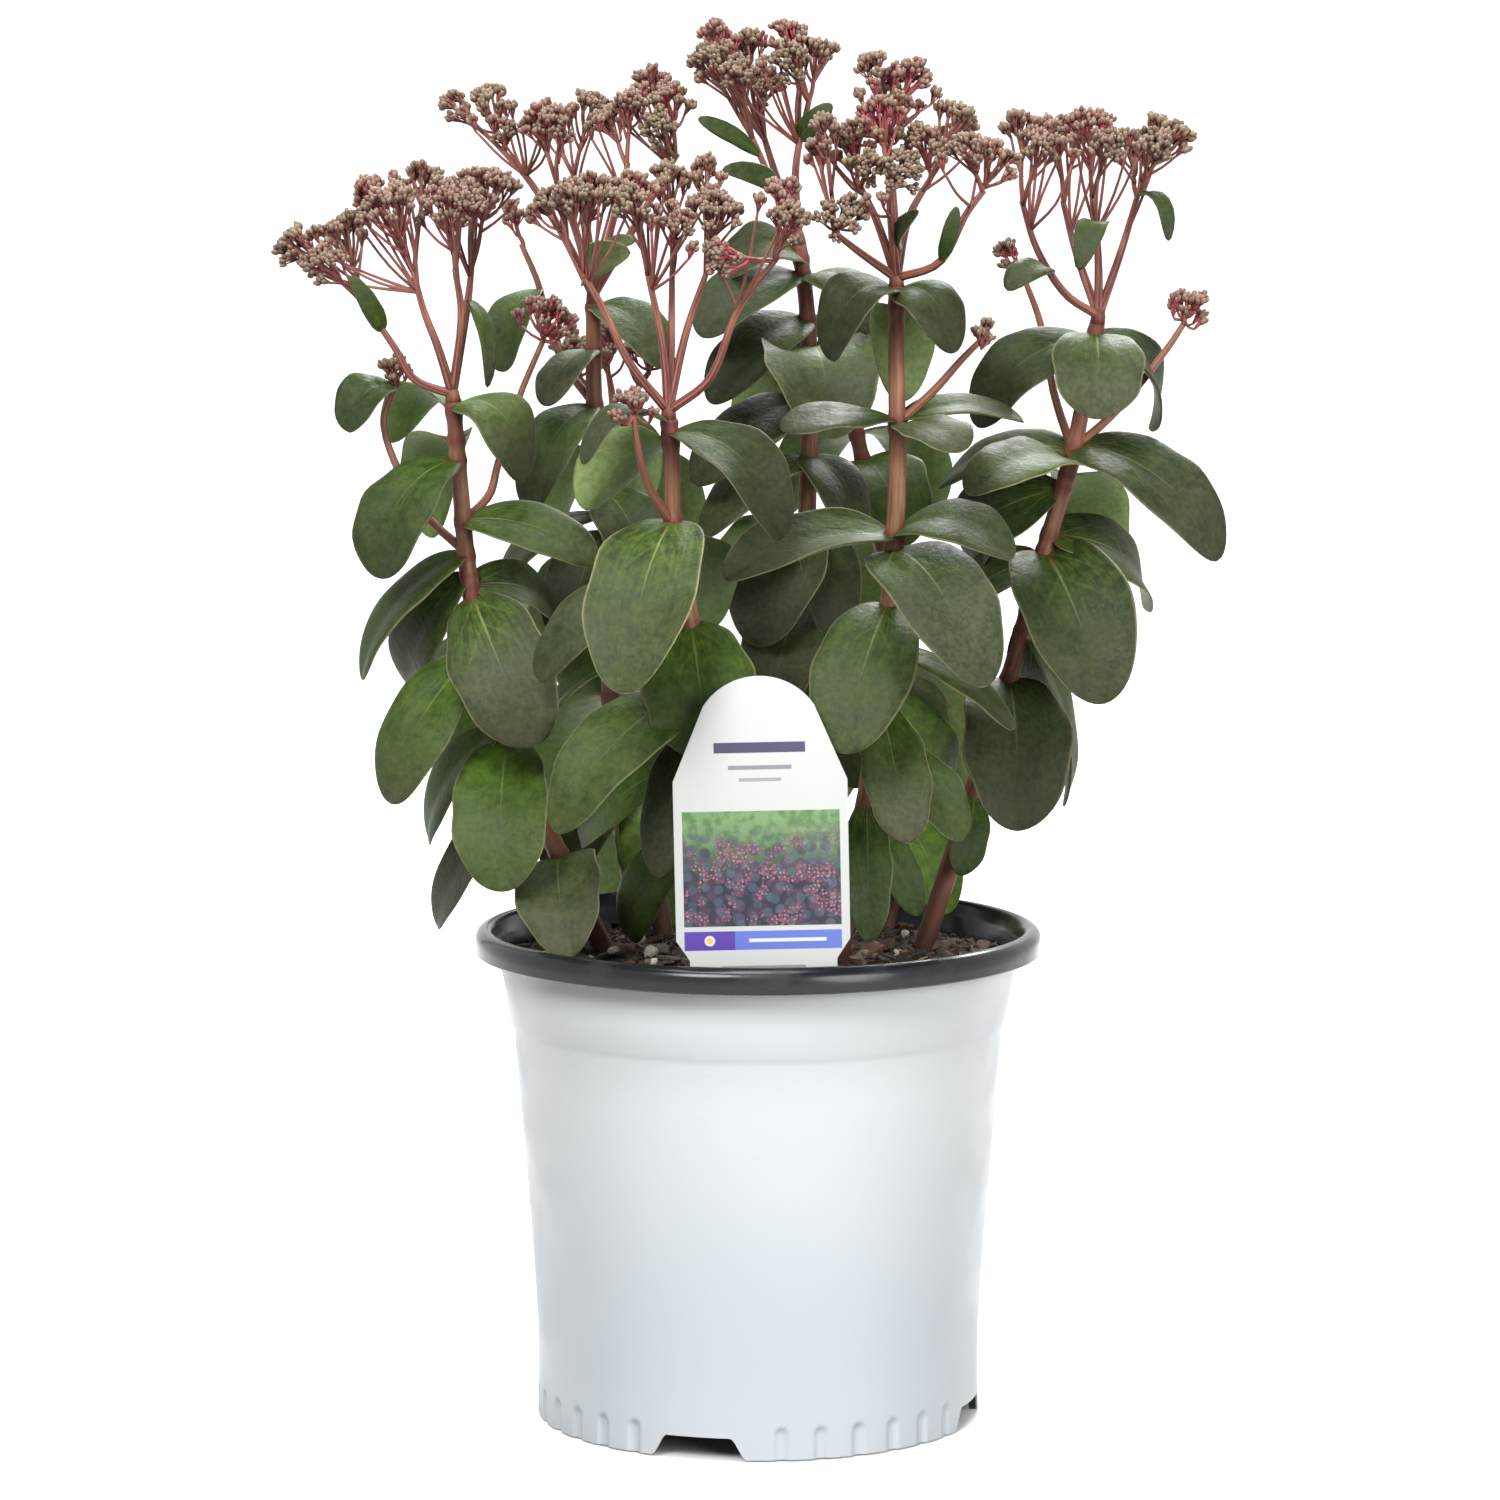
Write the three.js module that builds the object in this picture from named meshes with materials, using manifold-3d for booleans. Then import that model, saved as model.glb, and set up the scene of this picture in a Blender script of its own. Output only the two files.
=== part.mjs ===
// A potted stonecrop: a nursery pot full of bark mix, a plant tag, and eight leafy shoots, each with a flat
// head of flower buds. Millimetres, +Z up. The origin is the centre of the pot's foot, and -Y is the front.
import * as THREE from "three";
import { mergeGeometries, mergeVertices } from "three/addons/utils/BufferGeometryUtils.js";
import Module from "manifold-3d";

const wasm = await Module();
wasm.setup();

// Pot
const POT_SIDES = 32;
const WALL = 1.3;
const BODY = [ // outer wall, as radius and height, with a small step under the rim
  [65.8, 0], [65.6, 25], [69.6, 80], [72.8, 116.5], [73.8, 118.5], [78.2, 141.6],
];
const RIM = [ // rolled lip, from its hollow underside over the crest to the inside
  [82.6, 141.8], [82.8, 138.6], [84, 138.6], [84, 143.2], [82.6, 145.4], [80.6, 146], [78.8, 143.6],
];
const RIM_INNER = 78.8;
const FLOOR_TOP = 8;
const FLOOR_UNDER = 6.6;
const FOOT_INNER = 63.2;
const NOTCH = { count: 4, first: -15.5, foot: 29, crown: 19, height: 6.3, back: 62 };
const CUT_DEPTH = 14;
const FLUTE = { perSide: 6, first: 5.8, pitch: 10.2, width: 5, crown: 3, height: 9.6, depth: 0.7 };

// Soil
const SOIL_TOP = 136;
const SOIL_MOUND = 3;
const GAP = 0.35; // between pieces that touch
const SOIL_SIDES = 16;
const LUMP = { height: 1.1, alongX: 0.37, alongY: 0.31 };
const PERLITE = { count: 5, nearest: 44, spread: 24, least: 1.8, more: 1.2, proud: 0.3 };

// Tag
const TAG = {
  x: 2.3, y: -67, foot: 108, neck: 152, shoulder: 197.6, top: 227.4, half: 24.8, thick: 0.9, lean: 1.2,
};
const STAKE = { half: 21, cut: 5.7, flare: 133, waist: 7, point: 9 }; // under the card, down to its point
const TAG_HEAD = { radius: 19, side: 34 }; // the round head, and where it starts, in degrees above level

// Shoots. Places are given as they look from the front, on the upright plane through the pot's axis, with
// their true depth: at(x, z, y) carries such a place along the line of sight to that depth.
const EYE = new THREE.Vector3(-2.4, -1600, 388);
const at = ([x, z, y]) =>
  new THREE.Vector3(x, 0, z).sub(EYE).multiplyScalar((y - EYE.y) / -EYE.y).add(EYE);
const STEM_SIDES = 6;
const STEM_FOOT = 3.1;
const HOLE = (STEM_FOOT + GAP) / Math.cos(Math.PI / STEM_SIDES); // clear of the stem's corners
const STEM_NECK = 2.3;
const BRANCH_FOOT = 1.5;
const BRANCH_TIP = 0.9;
const BRANCH_SIDES = 4;
const TWIG_SHARE = 0.97; // where along a branch its clusters' stalks begin
const TWIG = 0.8;
const TWIG_FOOT = 0.5;
const NECK_LENGTH = 4.5; // the neck that carries a head, and where its branches part
const NECK_FORK = 2.4;
const NECK_TOP = 1.84;
const LEAF_THICK = 2;
const LEAF_ROOT = 0.5; // how far from the stem's axis a leaf begins
const LEAF_BROADEST = 1.15; // over 1, the leaf is broadest beyond its middle
const LEAF_FULLNESS = 0.5;
const LEAF_FOLD = 0.12;
const LEAF_ROWS = [0, 0.09, 0.32, 0.64, 0.9, 1];
const INNER_LEAF_ROWS = [0, 0.15, 0.48, 0.84, 1];
const SMALL_LEAF_ROWS = [0, 0.18, 0.5, 0.85, 1];
const SMALL_LEAF = 13;
const FACES_BACK = 120;
const DEEP = 4;
const STALK_SHARE = 1.2; // how far under its dome a cluster's stalk begins to open, to its radius
const LEAST_STALK = 0.4; // of a short cluster's length
const DOME_SHARE = 0.55; // a cluster's dome height to its radius
const SHOULDER = { out: 0.72, down: 0.35 }; // shares of the radius and of the dome
const BUD_RISE = 2.6; // larger than life, so that few buds cover a head
const BUD_TIP = 2.2; // how far a crown is above its dome
const SMALL_CLUSTER = 5.7;
const BIG_CLUSTER = 10;

// Each leaf: where it leaves the stem (a height on it, or a place), its tip, its width, the way its upper
// face looks (degrees from the front towards +X, and above level), how far it arches, and its hind lobes.
const SHOOTS = [
  {
    name: "left",
    stem: [
      [-35, 116, -3], [-58, 165, -8], [-73.5, 200, -11], [-84.5, 245, -13], [-87.5, 275, -13],
      [-89.5, 301, -12],
    ],
    leaves: [
      [300, [-68.7, 278.7, -25], 20, 25, 40, 0.4, 0.2],
      [298, [-108, 290, 14], 18, 200, 40, 0.3, 0.2],
      [284, [-112, 249.5, -30], 25, -32, 25, 0.24, 0.2],
      [266, [-47.5, 254.5, -27], 20, 5, 55, 0.12, 0.1],
      [256, [-118.5, 220.5, -17], 22, -60, 30, 0.12, 0.2],
      [244, [-66.5, 200.4, -43], 30, -8, 25, 0.14, 0.4],
      [247, [-60, 236, 10], 18, 30, 45, 0.2, 0.2],
      [228, [-109.8, 183, -24], 24, -22, 25, 0.15, 0.2],
      [205, [-98.4, 171.6, 9], 20, -60, 20, 0.12, 0.1],
      [201, [-75.5, 156, -40], 29, -10, 20, 0.13, 0.3],
      [184, [-97, 146, 6], 19, -50, 20, 0.1, 0.1],
      [166, [-56, 137.5, -50], 26, -12, 30, 0.14, 0.2],
      [290, [-96, 262, 22], 20, 200, 30, 0.25, 0.2],
      [232, [-84, 192, 30], 26, 190, 25, 0.2, 0.3],
      [250, [-103, 216, 4], 22, -30, 30, 0.15, 0.2],
    ],
    sprays: [
      { height: 257, path: [[-98.5, 268.6, -9], [-107, 284, -4], [-110, 296, 0], [-105.7, 308, 2]],
        buds: [[-107, 316, 2, 5.6]], leaves: [[0.95, [-121, 293, -8], 16, -30, 20, 0.3, 0.2]] },
      { height: 266, path: [[-79, 274, -4], [-76.5, 283, 2], [-70, 303, 8], [-62.7, 320, 10]],
        buds: [[-59, 332, 10, 9.6]] },
    ],
    head: {
      branches: [
        { path: [[-94, 317.5, -16], [-98, 328, -18], [-101, 339.5, -20]],
          buds: [[-110.5, 364, -28, 9.6], [-97, 371.5, -8, 7.3], [-116, 367, -12, 6.8]] },
        { path: [[-87, 327, -16], [-88.8, 340, -20]], buds: [[-92.5, 365, -24, 9], [-86, 366, 4, 9]] },
        { path: [[-85, 331, -8], [-83.8, 341, -6]], buds: [[-77, 370, -10, 9.6], [-84, 362, -34, 5.6]] },
        { path: [[-101, 308, -16], [-106.5, 317, -18], [-116, 331, -18]],
          buds: [[-139.5, 351, -16, 7.6], [-130.5, 345, -30, 6.6], [-123, 356, -12, 9.3]] },
      ],
      leaves: [
        [[3, 0.8], [-119, 338, -30], 6, -20, 40, 0.1, 0.1],
        [[2, 0.5], [-79, 306, -22], 6, 30, 30, 0.2, 0.1],
      ],
    },
  },
  {
    name: "centre_left",
    stem: [
      [-13, 112, -26], [-17, 180, -36], [-20, 235, -41], [-24.8, 265, -43], [-25.3, 283, -43],
      [-26.2, 296, -43],
    ],
    leaves: [
      [295, [-51.6, 283, -58], 15, -40, 62, 0.32, 0.1],
      [292, [7.5, 262, -60], 23, 28, 35, 0.26, 0.2],
      [289, [-51, 270, -20], 22, 190, 40, 0.2, 0.2],
      [266, [-40, 217.2, -92], 32, -10, 22, 0.13, 0.5],
      [262, [-14, 236, -14], 20, 150, 40, 0.2, 0.2],
      [247, [-65.5, 220, -52], 19, -35, 30, 0.2, 0.2],
      [236, [-15, 196, -60], 33, 3, 25, 0.13, 0.4],
      [214, [-60, 174, -66], 26, -28, 25, 0.16, 0.2],
      [205, [-30, 160, -50], 17, -15, 18, 0.1, 0.1],
      [196, [-53, 171, -4], 17, -40, 20, 0.1, 0.1],
      [176, [-40, 142, -8], 18, -30, 18, 0.12, 0.2],
    ],
    sprays: [
      { height: 265, path: [[-32.5, 277, -52], [-35.3, 288, -58], [-36.7, 298, -62]],
        buds: [[-37.5, 306, -64, 6.8]] },
    ],
    head: {
      branches: [
        { path: [[-38, 313, -50], [-45.4, 328.6, -52], [-51.8, 339.5, -52]],
          buds: [[-64.5, 363.5, -50, 7.3], [-55.5, 366, -62, 6.2], [-47.5, 369, -50, 7.7]] },
        { path: [[-28, 318, -46], [-32.5, 339.5, -50]], buds: [[-37, 369, -46, 6.8], [-38, 364, -62, 6.8]] },
        { path: [[-25.5, 318, -42], [-25.2, 339.5, -40]],
          buds: [[-26, 372, -36, 7], [-23.4, 358, -60, 6.3]] },
        { path: [[-21, 322, -42], [-15, 339.5, -44]],
          buds: [[-15.5, 374, -38, 5.9], [-11.5, 363, -54, 8.5]] },
        { path: [[-14.2, 308, -48], [-6, 328, -52], [6, 344, -54]],
          buds: [[8, 368, -56, 6.1], [11, 358.7, -66, 6.6], [-15, 343, -64, 6.8]] },
      ],
      leaves: [],
    },
  },
  {
    name: "back_left",
    stem: [[-25, 120, 24], [-36, 200, 31], [-45, 268, 37], [-48, 300, 39], [-48.3, 330, 40]],
    leaves: [
      [329, [-27, 311, 18], 18, 20, 35, 0.2, 0.2],
      [316, [-62, 300, 16], 16, -30, 30, 0.15, 0.2],
      [300, [-67.3, 269.6, 16], 20, -25, 30, 0.2, 0.2],
      [298, [-34, 272, 62], 22, 170, 30, 0.22, 0.2],
      [268, [-77, 248, 30], 18, -60, 30, 0.15, 0.2],
      [262, [-56, 228, 10], 22, -15, 30, 0.16, 0.2],
      [258, [-62, 222, 62], 24, 200, 25, 0.2, 0.3],
      [224, [-70, 182, 40], 24, -80, 25, 0.16, 0.2],
      [274, [-33, 252, 20], 22, 15, 30, 0.18, 0.3],
      [196, [-60, 158, 12], 22, -20, 20, 0.15, 0.2],
      [186, [-32, 152, 6], 18, 5, 20, 0.15, 0.2],
    ],
    sprays: [
      { height: 301, path: [[-56, 311, 44], [-61, 322, 47], [-64.3, 335.6, 48], [-69.3, 347.4, 48]],
        buds: [[-73, 360, 47, 4.5]], leaves: [[0.72, [-75, 310, 30], 15, -30, 20, 0.2, 0.2]] },
    ],
    head: {
      branches: [
        { path: [[-57, 350, 42], [-67, 366, 42], [-75, 375, 42]],
          buds: [[-92.7, 391, 40, 5.4], [-80.3, 394, 44, 7.9], [-73, 384, 34, 4.5]] },
        { path: [[-53, 350, 34], [-59, 365.5, 30]], buds: [[-66, 388, 28, 7], [-57.5, 387, 20, 5.6]] },
        { path: [[-50, 352, 48], [-54, 368, 54]], buds: [[-48, 392, 52, 7.2], [-64, 389, 62, 6.8]] },
        { path: [[-43, 352, 36], [-38, 371, 32]], buds: [[-37, 393, 28, 6.3], [-45, 388, 36, 5.6]] },
        { path: [[-34, 356, 42], [-23.5, 373.7, 40]],
          buds: [[-32.5, 399, 46, 7.2], [-25.5, 394.5, 34, 6.6], [-31, 384, 24, 6.3]] },
      ],
      leaves: [
        [[3, 0.2], [-36, 348, 24], 8, 10, 40, 0.2, 0.1],
        [[0, 0.1], [-38, 345, 20], 12, 10, 20, 0.15, 0.1],
      ],
    },
  },
  {
    name: "back_centre",
    stem: [[7, 120, 30], [12, 200, 40], [14.5, 272, 45], [15.2, 308, 46], [14.2, 329, 46], [12, 347, 46]],
    leaves: [
      [343, [-11, 338, 34], 20, -20, 40, 0.32, 0.2],
      [338, [-17, 321, 20], 20, -15, 42, 0.14, 0.2],
      [337, [33, 322, 28], 18, 30, 40, 0.3, 0.2],
      [325, [-14, 301, 24], 20, -20, 30, 0.16, 0.2],
      [316, [22, 292, 6], 35, 5, 42, 0.2, 0.5],
      [314, [-4, 288, 70], 24, 170, 30, 0.22, 0.3],
      [284, [29, 262, 26], 20, 30, 30, 0.15, 0.2],
      [283, [-16, 262, 26], 20, -40, 35, 0.15, 0.2],
      [262, [-13, 248, 8], 20, -15, 38, 0.15, 0.2],
      [240, [2, 205, 4], 26, -8, 25, 0.15, 0.3],
      [226, [30, 188, 12], 24, 15, 25, 0.15, 0.2],
      [300, [-19, 278, 22], 20, -20, 30, 0.15, 0.2],
      [266, [-1, 230, 14], 27, -5, 25, 0.15, 0.3],
      [266, [22, 232, 22], 20, 25, 25, 0.15, 0.2],
    ],
    sprays: [],
    head: {
      branches: [
        { path: [[4.6, 364, 44], [-2, 379, 42]],
          buds: [[-13.7, 412, 46, 7], [-17.4, 405, 34, 7.5], [-7, 401, 26, 6.6]] },
        { path: [[5, 368, 54], [0, 384, 58]],
          buds: [[-5, 410, 54, 7.2], [-12, 404, 66, 6.8], [3, 396, 44, 6]] },
        { path: [[11, 370, 46], [15, 390, 44]],
          buds: [[7, 413, 46, 6.8], [7.2, 405, 32, 7.2], [19, 408, 44, 6.6]] },
      ],
      leaves: [
        [[0, 0.4], [-10.5, 369, 30], 8, -10, 30, 0.2, 0.1],
        [[0, 0.8], [-17.5, 384, 34], 6, -20, 30, 0.1, 0.1],
        [[2, 0.7], [21.5, 388, 38], 7, 20, 30, 0.15, 0.1],
      ],
    },
  },
  {
    name: "centre_right",
    stem: [
      [20, 114, -18], [33, 190, -26], [40, 259, -31], [41, 285, -31], [40.6, 308, -31], [40.5, 335, -31],
    ],
    leaves: [
      [334, [21.2, 313.7, -42], 18, -25, 34, 0.4, 0.2],
      [334, [57.9, 316.5, -46], 19, 22, 32, 0.3, 0.2],
      [329, [42, 302, -8], 19, 170, 35, 0.2, 0.1],
      [296, [7, 293, -48], 19, 0, 70, 0.08, 0.1],
      [294, [60, 287.5, -58], 19, 10, 66, 0.1, 0.1],
      [296, [78, 296, -22], 16, 20, 72, 0.1, 0.1],
      [261, [-9.8, 249, -50], 23, -12, 62, 0.1, 0.1],
      [262, [75, 256, -48], 25, 25, 50, 0.2, 0.2],
      [257, [66.5, 218, -86], 31, 12, 25, 0.14, 0.5],
      [239, [25, 197.6, -66], 30, -8, 22, 0.13, 0.5],
      [226, [76, 205, -38], 15, 50, 60, 0.1, 0.1],
      [221, [52, 200, -10], 20, 120, 35, 0.15, 0.2],
      [211, [44.2, 171, -54], 20, 5, 15, 0.1, 0.2],
      [200, [61, 172, -30], 18, 30, 20, 0.1, 0.1],
      [183, [33, 141, -42], 14, 0, 18, 0.1, 0.1],
      [178, [48, 149, -26], 13, 10, 20, 0.1, 0.1],
      [214, [54, 184, -6], 20, 20, 20, 0.15, 0.2],
    ],
    sprays: [
      { height: 295, path: [[52, 305, -33], [60, 314, -34], [66, 320, -34]], buds: [[67, 326, -34, 4]] },
    ],
    head: {
      branches: [
        { path: [[29.7, 345, -38], [22, 351, -44]],
          buds: [[26, 358, -58, 7.9], [16.5, 378, -36, 5], [19, 385, -46, 5.9]] },
        { path: [[34.3, 355, -34], [29.7, 364.5, -36]], buds: [[26, 382, -30, 7.2], [34, 372, -56, 5.6]] },
        { path: [[39.5, 360, -26], [37.2, 384, -26]],
          buds: [[32.5, 404, -26, 5.4], [39.5, 398, -20, 4.5], [49, 401, -28, 6.3]] },
        { path: [[39, 352, -40], [38, 364, -46]], buds: [[34.7, 391, -42, 7.5], [44, 371, -62, 7.5]] },
        { path: [[44, 355, -30], [50.6, 367, -28]], buds: [[46.5, 383, -34, 7], [60, 388, -20, 9]] },
        { path: [[53, 342, -38], [61, 356.4, -42], [66, 363, -42]],
          buds: [[58.7, 380, -50, 6.6], [71.5, 377, -38, 7.7]] },
      ],
      leaves: [
        [[4, 0.25], [47, 357, -48], 6, 10, 30, 0.15, 0.1],
        [[5, 0.35], [58, 358, -50], 5, 10, 30, 0.15, 0.1],
      ],
    },
  },
  {
    name: "right",
    stem: [[42, 117, 4], [62, 180, 4], [74, 219, 4], [84, 256, 3], [92.5, 286.5, 2], [99.3, 324, 2]],
    leaves: [
      [321, [99.5, 296.8, -26], 27, 3, 27, 0.16, 0.6],
      [320, [116, 294, 14], 22, 70, 25, 0.25, 0.2],
      [319, [63.6, 295, -8], 21, -28, 32, 0.24, 0.2],
      [288, [136, 255.3, -16], 25, 22, 40, 0.2, 0.2],
      [284, [62, 274.5, -30], 23, -10, 55, 0.12, 0.2],
      [287, [53, 277, 18], 20, 0, 55, 0.15, 0.1],
      [262, [114, 241, 26], 24, 60, 32, 0.2, 0.2],
      [257, [102.5, 213, -32], 33, 6, 18, 0.12, 0.5],
      [254, [60, 236, 14], 20, -50, 35, 0.2, 0.2],
      [233, [92, 182, 12], 20, 70, 15, 0.1, 0.1],
      [219, [77, 175.7, -34], 32, 5, 20, 0.13, 0.5],
      [186, [60, 161, -6], 12, 20, 25, 0.1, 0.1],
      [280, [98, 246, 44], 24, 160, 25, 0.22, 0.2],
      [276, [60, 256, 30], 26, -10, 30, 0.2, 0.3],
      [240, [76, 212, 34], 20, 10, 25, 0.15, 0.2],
    ],
    sprays: [
      { height: 288, path: [[105.5, 299, 4], [120, 317, 5], [125, 324.6, 5]],
        buds: [[128, 334.6, 5, 7.5]] },
      { height: 287, path: [[87, 303, 12], [82.5, 325, 18], [78.2, 336.6, 20]],
        buds: [[70.5, 349, 20, 4.7]] },
    ],
    head: {
      branches: [
        { path: [[89.8, 333, -6], [81.5, 346, -8], [77, 360, -8]],
          buds: [[76.5, 386.6, -4, 6.3], [84, 380, -22, 6.1]] },
        { path: [[93, 345, 10], [89, 360, 14]], buds: [[86.6, 386, 12, 7], [94, 384, 28, 7.2]] },
        { path: [[99.4, 345, 0], [97.5, 362, -4]], buds: [[96.2, 387, -6, 8.6], [103, 380, -22, 6.3]] },
        { path: [[106.4, 346, 4], [111, 362, 6]],
          buds: [[108, 381, 12, 6.3], [117, 381, -4, 6.8], [121.8, 384, 14, 9.3]] },
      ],
      leaves: [
        [[2, 0.65], [94, 340, -22], 9, 0, 40, 0.35, 0.2],
        [[3, 0.98], [120, 348.3, -10], 6, 30, 40, 0.3, 0.1],
        [[0, 0.5], [73, 334, -24], 11, -10, 40, 0.2, 0.2],
      ],
    },
  },
  {
    name: "hind_left",
    stem: [[-31, 120, 46], [-42, 190, 60], [-44, 250, 67], [-42, 288, 70]],
    leaves: [
      [286, [-64, 258, 84], 22, 210, 35, 0.25, 0.2],
      [286, [-20, 260, 86], 22, 150, 35, 0.25, 0.2],
      [256, [-52, 212, 92], 28, 185, 25, 0.18, 0.4],
      [250, [-78, 218, 86], 22, -80, 35, 0.2, 0.2],
      [226, [-18, 186, 88], 26, 160, 25, 0.18, 0.3],
      [214, [-74, 172, 84], 26, 215, 25, 0.18, 0.3],
      [190, [-46, 150, 88], 22, 180, 25, 0.15, 0.2],
      [176, [-22, 146, 40], 20, 10, 20, 0.15, 0.2],
    ],
    sprays: [],
    head: {
      branches: [
        { path: [[-48, 302, 66], [-52, 308, 64]], buds: [[-55, 321, 58, 7.9]] },
        { path: [[-43, 304, 76], [-44, 310, 80]], buds: [[-45, 326, 76, 7.9], [-50, 320, 90, 6.8]] },
        { path: [[-36, 304, 68], [-32, 310, 68]], buds: [[-34, 322, 62, 6.8], [-28, 321, 76, 6.8]] },
      ],
      leaves: [],
    },
  },
  {
    name: "hind_right",
    stem: [[33, 120, 42], [44, 190, 56], [38, 250, 64], [28, 296, 68]],
    leaves: [
      [292, [8, 268, 90], 22, 200, 35, 0.25, 0.2],
      [292, [52, 270, 84], 22, 140, 35, 0.25, 0.2],
      [262, [30, 218, 92], 28, 175, 25, 0.18, 0.4],
      [254, [68, 226, 60], 22, 100, 35, 0.2, 0.2],
      [228, [64, 184, 84], 26, 150, 25, 0.18, 0.3],
      [216, [12, 172, 86], 26, 200, 25, 0.18, 0.3],
      [188, [44, 150, 84], 22, 180, 25, 0.15, 0.2],
      [284, [44, 260, 44], 26, 10, 25, 0.2, 0.3],
      [176, [56, 150, 26], 18, 10, 20, 0.15, 0.2],
      [180, [24, 146, 40], 20, -10, 20, 0.15, 0.2],
    ],
    sprays: [],
    head: {
      branches: [
        { path: [[22, 308, 64], [18, 314, 62]], buds: [[14, 327, 56, 7.9]] },
        { path: [[26, 310, 76], [25, 317, 79]], buds: [[24, 332, 74, 7.9], [18, 326, 88, 6.8]] },
        { path: [[32, 310, 68], [35, 316, 68]], buds: [[34, 328, 62, 6.8], [37, 327, 77, 6.8]] },
      ],
      leaves: [],
    },
  },
];

const FINISH = {
  pot: { color: 0xdfe6ee, roughness: 0.35, metalness: 0 },
  soil: { color: 0x2c1c16, roughness: 0.95, metalness: 0 },
  tag: { color: 0xf3f3f0, roughness: 0.4, metalness: 0 },
  leaf: { color: 0x3b4a33, roughness: 0.5, metalness: 0 },
  head: { color: 0x6b4f47, roughness: 0.8, metalness: 0 },
};

// A small repeatable source of chance, so that every run makes the same plant.
function seeded(seed) {
  let state = seed;
  return () => {
    state = (state * 1664525 + 1013904223) % 4294967296;
    return state / 4294967296;
  };
}

// A geometry's corners alone, shared where faces meet.
function welded(geometry) {
  const bare = new THREE.BufferGeometry().setAttribute("position", geometry.getAttribute("position"));
  if (geometry.index) bare.setIndex(geometry.index);
  return mergeVertices(bare, 1e-3);
}

// The closed solid of a three.js geometry, without its collapsed triangles.
function solidOf(geometry) {
  const merged = welded(geometry);
  const triVerts = [];
  for (let i = 0; i < merged.index.count; i += 3) {
    const [a, b, c] = [0, 1, 2].map((k) => merged.index.getX(i + k));
    if (a !== b && b !== c && c !== a) triVerts.push(a, b, c);
  }
  return new wasm.Manifold(new wasm.Mesh({
    numProp: 3,
    vertProperties: new Float32Array(merged.attributes.position.array),
    triVerts: new Uint32Array(triVerts),
  }));
}

const joined = (solids) => solids.reduce((whole, piece) => whole.add(piece));

function meshOf(name, solid, finish) {
  const { numProp, vertProperties, triVerts } = solid.getMesh();
  const position = new Float32Array((vertProperties.length / numProp) * 3);
  for (let i = 0; i < position.length / 3; i++)
    position.set(vertProperties.subarray(i * numProp, i * numProp + 3), i * 3);
  const geometry = new THREE.BufferGeometry()
    .setAttribute("position", new THREE.BufferAttribute(position, 3))
    .setIndex(new THREE.BufferAttribute(triVerts, 1));
  geometry.computeVertexNormals();
  const mesh = new THREE.Mesh(geometry, new THREE.MeshStandardMaterial(finish));
  mesh.name = name;
  return mesh;
}

// A closed shape spun about +Z from radius and height pairs.
function turned(profile, sides) {
  const points = profile.map(([r, z]) => new THREE.Vector2(r, z));
  return new THREE.LatheGeometry(points, sides).rotateX(Math.PI / 2);
}

// A tapering tube along a curve: a capped cylinder bent onto it.
function tube(curve, footRadius, tipRadius, sides, steps) {
  const geometry = new THREE.CylinderGeometry(tipRadius, footRadius, 1, sides, steps);
  const frames = curve.computeFrenetFrames(steps);
  const position = geometry.getAttribute("position");
  for (let i = 0; i < position.count; i++) {
    const share = position.getY(i) + 0.5;
    const k = Math.round(share * steps);
    const place = curve.getPointAt(share)
      .addScaledVector(frames.normals[k], position.getX(i))
      .addScaledVector(frames.binormals[k], -position.getZ(i));
    position.setXYZ(i, place.x, place.y, place.z);
  }
  return geometry;
}

const stemSteps = (stem) => stem.length;

const curveThrough = (places) => new THREE.CatmullRomCurve3(places.map(at));

// Where a leaf or spray leaves a stem: a little out from the axis towards its tip, at a height given as it
// looks from the front.
function onStem(stem, height, tip) {
  const upper = Math.max(1, stem.findIndex(([, z]) => z >= height));
  const [low, high] = [stem[upper - 1][1], stem[upper][1]];
  const share = (upper - 1 + (height - low) / (high - low)) / (stem.length - 1);
  const axis = curveThrough(stem).getPoint(share);
  const out = tip.clone().sub(axis).setZ(0).normalize();
  return axis.addScaledVector(out, LEAF_ROOT);
}

// Which way a leaf's upper face looks, from its two angles in degrees.
function facing(turn, lift) {
  const [a, b] = [THREE.MathUtils.degToRad(turn), THREE.MathUtils.degToRad(lift)];
  return new THREE.Vector3(Math.sin(a) * Math.cos(b), -Math.cos(a) * Math.cos(b), Math.sin(b));
}

// Small leaves, and the ones that face the back or sit deep in the plant, are split into fewer rows.
function rowsOf(width, turn, tip) {
  if (width < SMALL_LEAF) return SMALL_LEAF_ROWS;
  return Math.abs(turn) > FACES_BACK || tip.y > DEEP ? INNER_LEAF_ROWS : LEAF_ROWS;
}

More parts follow.
